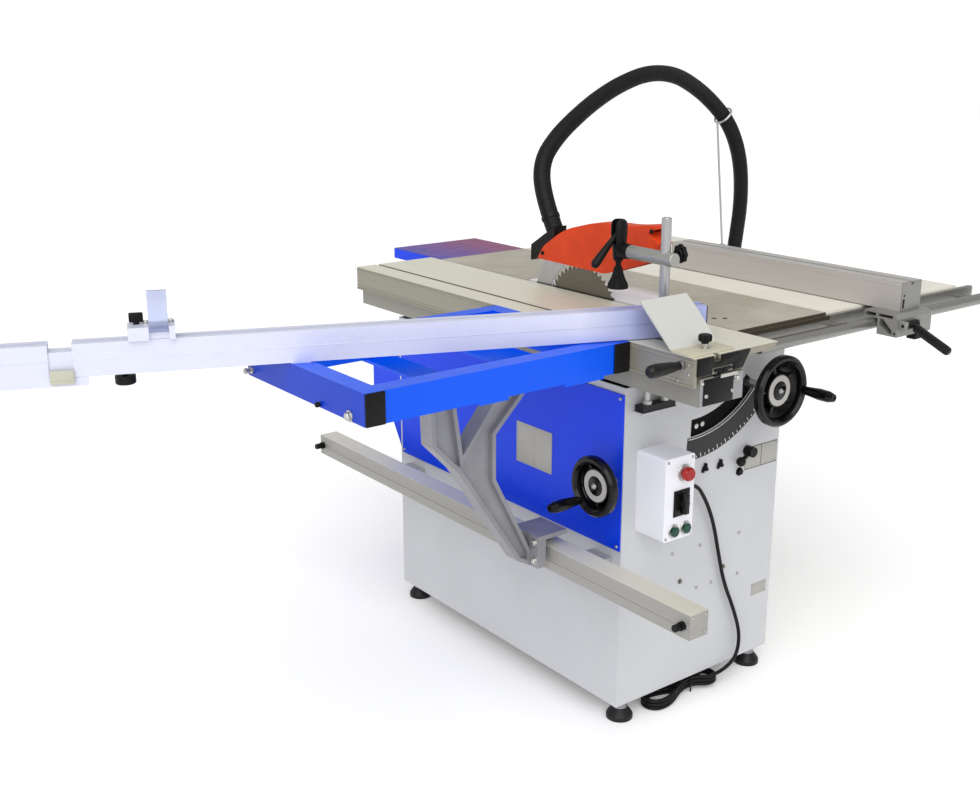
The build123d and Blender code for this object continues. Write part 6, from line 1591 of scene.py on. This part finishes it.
def add_shoe_knob():
    """The knob that clamps the shoe, on a bright collar."""
    collar = bmesh.new()
    turned(collar, SHOE_COLLAR_OUTLINE, SHOE_KNOB, UPWARD)
    piece("shoe_collar", collar, STEEL_PART, "shoe")
    knob = bmesh.new()
    lobed_knob(knob, SHOE_KNOB + SHOE_KNOB_LIFT, UPWARD, radius=12.5, high=19, lobes=12)
    piece("shoe_knob", knob, BLACK_PART, "shoe")


COLUMN_LOW, COLUMN_HIGH = corners("clamp_column")
ARM_LOW, ARM_HIGH = corners("clamp_arm")
FOOT_LOW, FOOT_HIGH = corners("clamp_foot")
COLUMN_X = (COLUMN_LOW.x + COLUMN_HIGH.x) / 2
COLUMN_Y = (COLUMN_LOW.y + COLUMN_HIGH.y) / 2
COLUMN_R = 10.5
COLUMN_TOP_OUTLINE = [(0, 0), (9, 0), (8, 2), (0, 2.6)]
ARM_R = 14.5
ARM_Z = 1040.0
BODY_Y = ARM_HIGH.y - 17.0
BODY_TOP = ARM_HIGH.z
ARM_END_Y = BODY_Y - 20
ARM_SCREW = (COLUMN_X - ARM_R + 0.4, COLUMN_Y + 20, ARM_Z + 2)
STEM_R = 6.0
CLEAR = 0.15
CLAMP_STEPS = 40
CLAMP_KNOB = (COLUMN_X + 16.0, COLUMN_Y - 9.0, ARM_Z + 7.0)
CLAMP_KNOB_AXIS = (1, -0.12, 0.1)


def add_clamp_arm():
    """The bright arm that the column passes through, with its locking knob and a grub screw."""
    bar, hole, knob, screw, top = bmesh.new(), bmesh.new(), bmesh.new(), bmesh.new(), bmesh.new()
    rod(bar, (COLUMN_X, ARM_LOW.y, ARM_Z), (COLUMN_X, ARM_END_Y, ARM_Z), ARM_R, CLAMP_STEPS, edge=1.2)
    rod(hole, (COLUMN_X, COLUMN_Y, ARM_Z - 2 * ARM_R), (COLUMN_X, COLUMN_Y, ARM_Z + 2 * ARM_R),
        COLUMN_R + CLEAR, CLAMP_STEPS)
    arm = piece("clamp_arm_bar", cut_out(bar, hole), (clamp_steel, "steel"), "clamp_head")
    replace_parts(arm, "clamp_arm")
    lobed_knob(knob, CLAMP_KNOB, CLAMP_KNOB_AXIS, radius=19, high=13, lobes=8, stem=9)
    piece("clamp_knob", knob, BLACK_PART, "clamp_head")
    dome_screw(screw, ARM_SCREW, TO_LEFT, radius=3.2)
    piece("clamp_arm_screw", screw, STEEL_PART, "clamp_head")
    turned(top, COLUMN_TOP_OUTLINE, (COLUMN_X, COLUMN_Y, COLUMN_HIGH.z), UPWARD)
    piece("clamp_column_top", top, (column_steel, "steel"), "clamp_post")


BODY_OUTLINE = [(0, -90.5), (8.5, -90.5), (12, -84), (13.5, -66), (16.6, -46), (17.6, -30), (17.6, -14),
                (16, -6), (11, -1.5), (0, -0.2)]
COLLAR_OUTLINE = [(0, 8), (16.6, 8), (16.6, 27), (15.2, 36), (0, 36)]
LEVER_PIVOT = Vector((COLUMN_X, BODY_Y, BODY_TOP - 24.0))
LEVER_SLOT = (Vector((-19.0, -6.6, -28.0)), Vector((8.5, 6.6, 29.0)))
STEM_ROOM = 9


def add_clamp_body():
    """The black body: waisted below, domed above, slotted for the lever and bored for the stem."""
    body, room, collar = bmesh.new(), bmesh.new(), bmesh.new()
    turned(body, BODY_OUTLINE, (COLUMN_X, BODY_Y, BODY_TOP), UPWARD, CLAMP_STEPS)
    block(room, *[LEVER_PIVOT + corner for corner in LEVER_SLOT])
    rod(room, (COLUMN_X, BODY_Y, FOOT_LOW.z), (COLUMN_X, BODY_Y, FOOT_HIGH.z + STEM_ROOM), STEM_R + CLEAR)
    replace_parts(piece("clamp_body", cut_out(body, room), BLACK_PART, "clamp_head"), "clamp_arm")
    turned(collar, COLLAR_OUTLINE, (COLUMN_X, BODY_Y, ARM_Z), TO_FRONT, steps=36)
    piece("clamp_collar", collar, BLACK_PART, "clamp_head")


LEVER_SLOPE = math.radians(45)
LEVER_OUTLINE = [(0, 0), (5, 0), (5, 20), (6.2, 30), (9.4, 82), (9.4, 92), (7.6, 98), (4, 101), (0, 101.5)]
LEVER_HUB = (8.0, Vector((0, 6.0, 0)))
LEVER_PIN = (3.8, Vector((0, 15.0, 0)))


def add_clamp_lever():
    """The cranked lever with its hub and pin."""
    bm = bmesh.new()
    turned(bm, LEVER_OUTLINE, LEVER_PIVOT, (-math.cos(LEVER_SLOPE), 0, -math.sin(LEVER_SLOPE)))
    for radius, half in (LEVER_HUB, LEVER_PIN):
        rod(bm, LEVER_PIVOT - half, LEVER_PIVOT + half, radius)
    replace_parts(piece("clamp_lever_arm", bm, BLACK_PART, "clamp_handle"), "clamp_lever")


PAD_OUTLINE = [(0, 0), (22.2, 0), (22.6, 3), (20, 10), (15, 20), (11, 32), (9, 42), (8.4, 46), (0, 46)]
PAD_RIBS = 12
PAD_RIB_STEPS = 4
PAD_RIB_DEPTH = 0.07
PAD_RIB_LOW, PAD_RIB_HIGH = 3, 45
STEM_FROM = Vector((0, 0, 40))


def add_clamp_pad():
    """The rubber foot: a flared cone with ribs, on a round stem."""
    bm = bmesh.new()
    foot = Vector((COLUMN_X, BODY_Y, FOOT_LOW.z))
    turned(bm, PAD_OUTLINE, foot, UPWARD, PAD_RIB_STEPS * PAD_RIBS)
    for vert in bm.verts:
        out = vert.co - foot
        if PAD_RIB_LOW < out.z < PAD_RIB_HIGH:
            rib = 1.0 + PAD_RIB_DEPTH * math.cos(PAD_RIBS * math.atan2(out.y, out.x))
            vert.co = foot + Vector((out.x * rib, out.y * rib, out.z))
    rod(bm, foot + STEM_FROM, (COLUMN_X, BODY_Y, FOOT_HIGH.z), STEM_R)
    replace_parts(piece("clamp_pad_cone", bm, RUBBER_PART, "clamp_pad"), "clamp_foot")


# Guard details

GUARD_LOW, GUARD_HIGH = corners("blade_guard")
GUARD_BOLTS = [(112, 975), (-252, 1071)]
GUARD_BACK = [(134, 960), (112, 992), (38, 1040)]
GUARD_CROWN = [(-78, 1071), (-183, 1074), (-243, 1083), (-266, 1084), (-266, 1077)]
GUARD_NOSE = [(-240, 1066), (-249, 1060), (-274, 1046)]
GUARD_MOUTH = [(-238, 999), (-108, 957)]
# Which corners of the outline are rounded, and by how much
GUARD_ROUNDS = {2: 30.0, 3: 34.0, 4: 24.0, 1: 10.0, 11: 10.0, 12: 12.0}
GUARD_EASE = 2.5
GUARD_WALL = 2.6
# Faces whose normal points further down than this are left out, so that the hood is open below
GUARD_OPEN = -0.8
# Edges sharper than this are eased where they border a flank, whose normal lies along X
GUARD_RIM = math.radians(60)
GUARD_FLANK = 0.9
GUARD_BOSS = (105.0, 966.0, 6.0)
BOSS_INSET, BOSS_GAP = 1, 1.3


def add_guard():
    """The orange hood: a crowned shell, open below, with a notched nose and the bosses of its bolt."""
    bm = bmesh.new()
    outline = GUARD_BACK + GUARD_CROWN + GUARD_NOSE + GUARD_MOUTH
    verts = [bm.verts.new((GUARD_LOW.x, y, z)) for y, z in outline]
    bm.faces.new(verts)
    for corner, offset in GUARD_ROUNDS.items():
        bmesh.ops.bevel(bm, geom=[verts[corner]], offset=offset, segments=5, profile=0.5, affect="VERTICES",
                        material=-1)
    grown = bmesh.ops.extrude_face_region(bm, geom=list(bm.faces))["geom"]
    moved = [part for part in grown if isinstance(part, bmesh.types.BMVert)]
    bmesh.ops.translate(bm, vec=(GUARD_HIGH.x - GUARD_LOW.x, 0, 0), verts=moved)
    bmesh.ops.recalc_face_normals(bm, faces=bm.faces)
    bmesh.ops.delete(bm, geom=[face for face in bm.faces if face.normal.z < GUARD_OPEN], context="FACES_ONLY")
    rims = [line for line in bm.edges if len(line.link_faces) == 2 and line.calc_face_angle() > GUARD_RIM
            and any(abs(face.normal.x) > GUARD_FLANK for face in line.link_faces)]
    bmesh.ops.bevel(bm, geom=rims, offset=GUARD_EASE, segments=3, profile=0.5, affect="EDGES", material=-1)
    bmesh.ops.solidify(bm, geom=list(bm.faces), thickness=GUARD_WALL)
    y, z, radius = GUARD_BOSS
    middle = (GUARD_LOW.x + GUARD_HIGH.x) / 2
    for x0, x1 in ((GUARD_LOW.x + BOSS_INSET, middle - BOSS_GAP),
                   (middle + BOSS_GAP, GUARD_HIGH.x - BOSS_INSET)):
        rod(bm, (x0, y, z), (x1, y, z), radius)
    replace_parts(piece("guard_hood", bm, (orange_plastic, "orange_guard"), "rise_unit"), "blade_guard")


def add_guard_bolts():
    """The bolts of the guard, seen on both its flanks."""
    bm = bmesh.new()
    for y, z in GUARD_BOLTS:
        for x, way in ((GUARD_LOW.x, -1), (GUARD_HIGH.x, 1)):
            dome_screw(bm, (x, y, z), (way, 0, 0), radius=5.0)
    piece("guard_bolts", bm, BLACK_PART, "rise_unit")


# Rip fence details

RIP_LOW, RIP_HIGH = corners("rip_fence")
CARRIER_LOW, CARRIER_HIGH = corners("rip_fence_carrier")
CARRIER_FRONT = -612.0
CARRIER_INNER = -561.0
CARRIER_PLATE_LOW = 882.5
CARRIER_CHAMFER = 9.0
CARRIER_CHAMBERS = [[(-556, 886), (-530, 886), (-530, 893.5), (-556, 893.5)],
                    [(-599, 887), (-562, 887), (-562, 893.5), (-599, 893.5)],
                    [(-566, 883), (-566, 868), (-592, 853), (-599, 853), (-599, 860), (-575, 883)]]
CARRIER_BORE = (-605.0, 855.0, 3.4)
# How far a cutting shape stands out of what it cuts
CUT_PAST = 2
RIP_LEVER_X = 408.0
RIP_LEVER_Z = 875.0
RIP_PIN_Y = -623.0
RIP_PIN_R = 4.0
EAR_INNER = 20.5
EAR_THICK = 10.0
EAR_HALF = 10.0
EAR_LAP = 0.3


def drilled_ear(x):
    """One ear of the rip fence's lever, with the bore of its pin."""
    ear, bore = bmesh.new(), bmesh.new()
    block(ear, (x, CARRIER_LOW.y, RIP_LEVER_Z - EAR_HALF),
          (x + EAR_THICK, CARRIER_FRONT + EAR_LAP, RIP_LEVER_Z + EAR_HALF), edge=2.0, segments=3)
    rod(bore, (x - CUT_PAST, RIP_PIN_Y, RIP_LEVER_Z), (x + EAR_THICK + CUT_PAST, RIP_PIN_Y, RIP_LEVER_Z),
        RIP_PIN_R + CLEAR)
    return cut_out(ear, bore)


def add_rip_carrier():
    """The carrier as a drawn profile with open chambers, and the two ears of its lever."""
    top, low = CARRIER_HIGH.z, CARRIER_LOW.z
    long = CARRIER_HIGH.x - CARRIER_LOW.x
    outline = [(CARRIER_FRONT, low), (CARRIER_INNER, low), (CARRIER_INNER, CARRIER_PLATE_LOW),
               (CARRIER_HIGH.y, CARRIER_PLATE_LOW), (CARRIER_HIGH.y, top),
               (CARRIER_FRONT + CARRIER_CHAMFER, top), (CARRIER_FRONT, top - CARRIER_CHAMFER)]
    bm, room = bmesh.new(), bmesh.new()
    prism(bm, [(CARRIER_LOW.x, y, z) for y, z in outline], (long, 0, 0), edge=0.8)
    left, right = CARRIER_LOW.x - CUT_PAST, CARRIER_HIGH.x + CUT_PAST
    for chamber in CARRIER_CHAMBERS:
        prism(room, [(left, y, z) for y, z in chamber], (right - left, 0, 0))
    y, z, radius = CARRIER_BORE
    rod(room, (left, y, z), (right, y, z), radius)
    profile = cut_out(bm, room)
    for x in (RIP_LEVER_X - EAR_INNER - EAR_THICK, RIP_LEVER_X + EAR_INNER):
        ear = drilled_ear(x)
        mesh = bpy.data.meshes.new("ear")
        ear.to_mesh(mesh)
        ear.free()
        profile.from_mesh(mesh)
        bpy.data.meshes.remove(mesh)
    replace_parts(piece("rip_carrier_profile", profile, (alloy_end, "alloy"), "rip_unit"), "rip_fence_carrier")


RIP_LEVER_AXIS = (0.0, -92.0, -40.0)
RIP_BAR_OUTLINE = [(0, 12), (8.4, 12), (10, 18), (10, 98), (9, 105), (7, 107), (0, 107.5)]
RIP_HUB = (9.4, Vector((20.0, 0, 0)))
RIP_PIN = (RIP_PIN_R - CLEAR, Vector((29.0, 0, 0)))


def add_rip_lever():
    """The six-sided bar of the rip fence's lever, with its hub and pin."""
    bm = bmesh.new()
    pivot = Vector((RIP_LEVER_X, RIP_PIN_Y, RIP_LEVER_Z))
    turned(bm, RIP_BAR_OUTLINE, pivot, RIP_LEVER_AXIS, HEX_SIDES)
    for radius, half in (RIP_HUB, RIP_PIN):
        rod(bm, pivot - half, pivot + half, radius)
    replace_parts(piece("rip_lever_bar", bm, BLACK_PART, "rip_handle"), "rip_fence_lever")


RIP_CAP_THICK = 2.5
RIP_CAP_OPENINGS = [((415, 903), (423, 924)), ((417, 929), (423, 934)), ((441, 953), (451, 962))]
LIP_RISE = 0.8
LIP_LOW, LIP_HIGH = RIP_HIGH.z - 8.0, RIP_HIGH.z - 6.0


def add_rip_ends():
    """End plates of the rip fence with the mouths of its chambers, and the lip along its left face."""
    plates, room, lip = bmesh.new(), bmesh.new(), bmesh.new()
    for y0, y1 in ((RIP_LOW.y - RIP_CAP_THICK, RIP_LOW.y), (RIP_HIGH.y, RIP_HIGH.y + RIP_CAP_THICK)):
        block(plates, (RIP_LOW.x, y0, RIP_LOW.z), (RIP_HIGH.x, y1, RIP_HIGH.z), edge=0.8)
        for (x0, z0), (x1, z1) in RIP_CAP_OPENINGS:
            block(room, (x0, y0 - CUT_PAST, z0), (x1, y1 + CUT_PAST, z1))
    piece("rip_fence_ends", cut_out(plates, room), (alloy_end, "alloy"), "rip_unit")
    block(lip, (RIP_LOW.x - LIP_RISE, RIP_LOW.y, LIP_LOW), (RIP_LOW.x, RIP_HIGH.y, LIP_HIGH), edge=0.3)
    piece("rip_fence_lip", lip, (alloy_y, "alloy"), "rip_unit")


RIP_LOCK = ((446, -611, CARRIER_LOW.z - 15), (470, -588, CARRIER_LOW.z))
SIDE_PLATE_X = CARRIER_HIGH.x + 4
SIDE_PLATE = ((CARRIER_HIGH.x, -610, CARRIER_LOW.z + 2), (SIDE_PLATE_X, -560, CARRIER_HIGH.z - 6))
SIDE_SCREWS = [(SIDE_PLATE_X, y, CARRIER_HIGH.z - 16) for y in (-598, -572)]


def add_rip_details():
    """The black lock block below the carrier, and the plate with two screws on its right end."""
    bm = bmesh.new()
    block(bm, *RIP_LOCK, edge=2.0)
    piece("rip_lock_block", bm, BLACK_PART, "rip_unit")
    plate = bmesh.new()
    block(plate, *SIDE_PLATE, edge=1.0)
    for spot in SIDE_SCREWS:
        dome_screw(plate, spot, TO_RIGHT, radius=4)
    piece("rip_carrier_plate", plate, STEEL_PART, "rip_unit")


# Table details

INSERT_LOW, INSERT_HIGH = corners("table_insert")
INSERT_SCREWS = [(INSERT_HIGH.x - 8, y) for y in (INSERT_LOW.y + 12, INSERT_HIGH.y - 12)]
INSERT_SCREW_OUTLINE = [(0, 0.05), (1.6, 0.05), (2, 0.3), (4.5, 0.3), (4.8, 0), (0, 0)]
TABLE_SCREWS = [(49, -383), (67, -397)]
TABLE_SCREW_OUTLINE = [(0, 0.05), (2.4, 0.05), (3, 0.35), (5.5, 0.35), (6, 0), (0, 0)]


def add_table_screws():
    """Flat screws of the insert, and two dark set screws in the table."""
    bm = bmesh.new()
    for spots, outline in ((INSERT_SCREWS, INSERT_SCREW_OUTLINE), (TABLE_SCREWS, TABLE_SCREW_OUTLINE)):
        for x, y in spots:
            turned(bm, outline, (x, y, INSERT_HIGH.z), UPWARD, steps=20)
    piece("table_screws", bm, (black_plastic, "dark_plate"), "base")


add_camera()
add_room()
add_sun()
add_floor()
dress_nodes()
add_cable()
add_hose()
add_carriage_caps()
add_beam_ends()
add_slide_stops()
add_frame_caps()
add_frame_fittings()
add_rail_strip()
add_rail_stops()
add_carriage_ridges()
add_bracket_bolts()
add_box_screws()
add_switch_plate()
add_bezels()
add_scale_ticks()
add_scale_border()
add_slot_shield()
add_front_plates()
add_front_clips()
add_front_rivets()
add_cover_details()
add_wheel_details("height_wheel", HEIGHT_AXIS, TO_FRONT, HEIGHT_WHEEL_R, "height_drive")
add_wheel_details("tilt_wheel", TILT_AXIS, TO_LEFT, TILT_WHEEL_R, "tilt_drive")
add_fence_details()
add_fence_ridges()
add_stop_knob()
add_shoe_plate()
add_shoe_knob()
add_clamp_arm()
add_clamp_body()
add_clamp_lever()
add_clamp_pad()
add_guard()
add_guard_bolts()
add_rip_carrier()
add_rip_lever()
add_rip_ends()
add_rip_details()
add_table_screws()
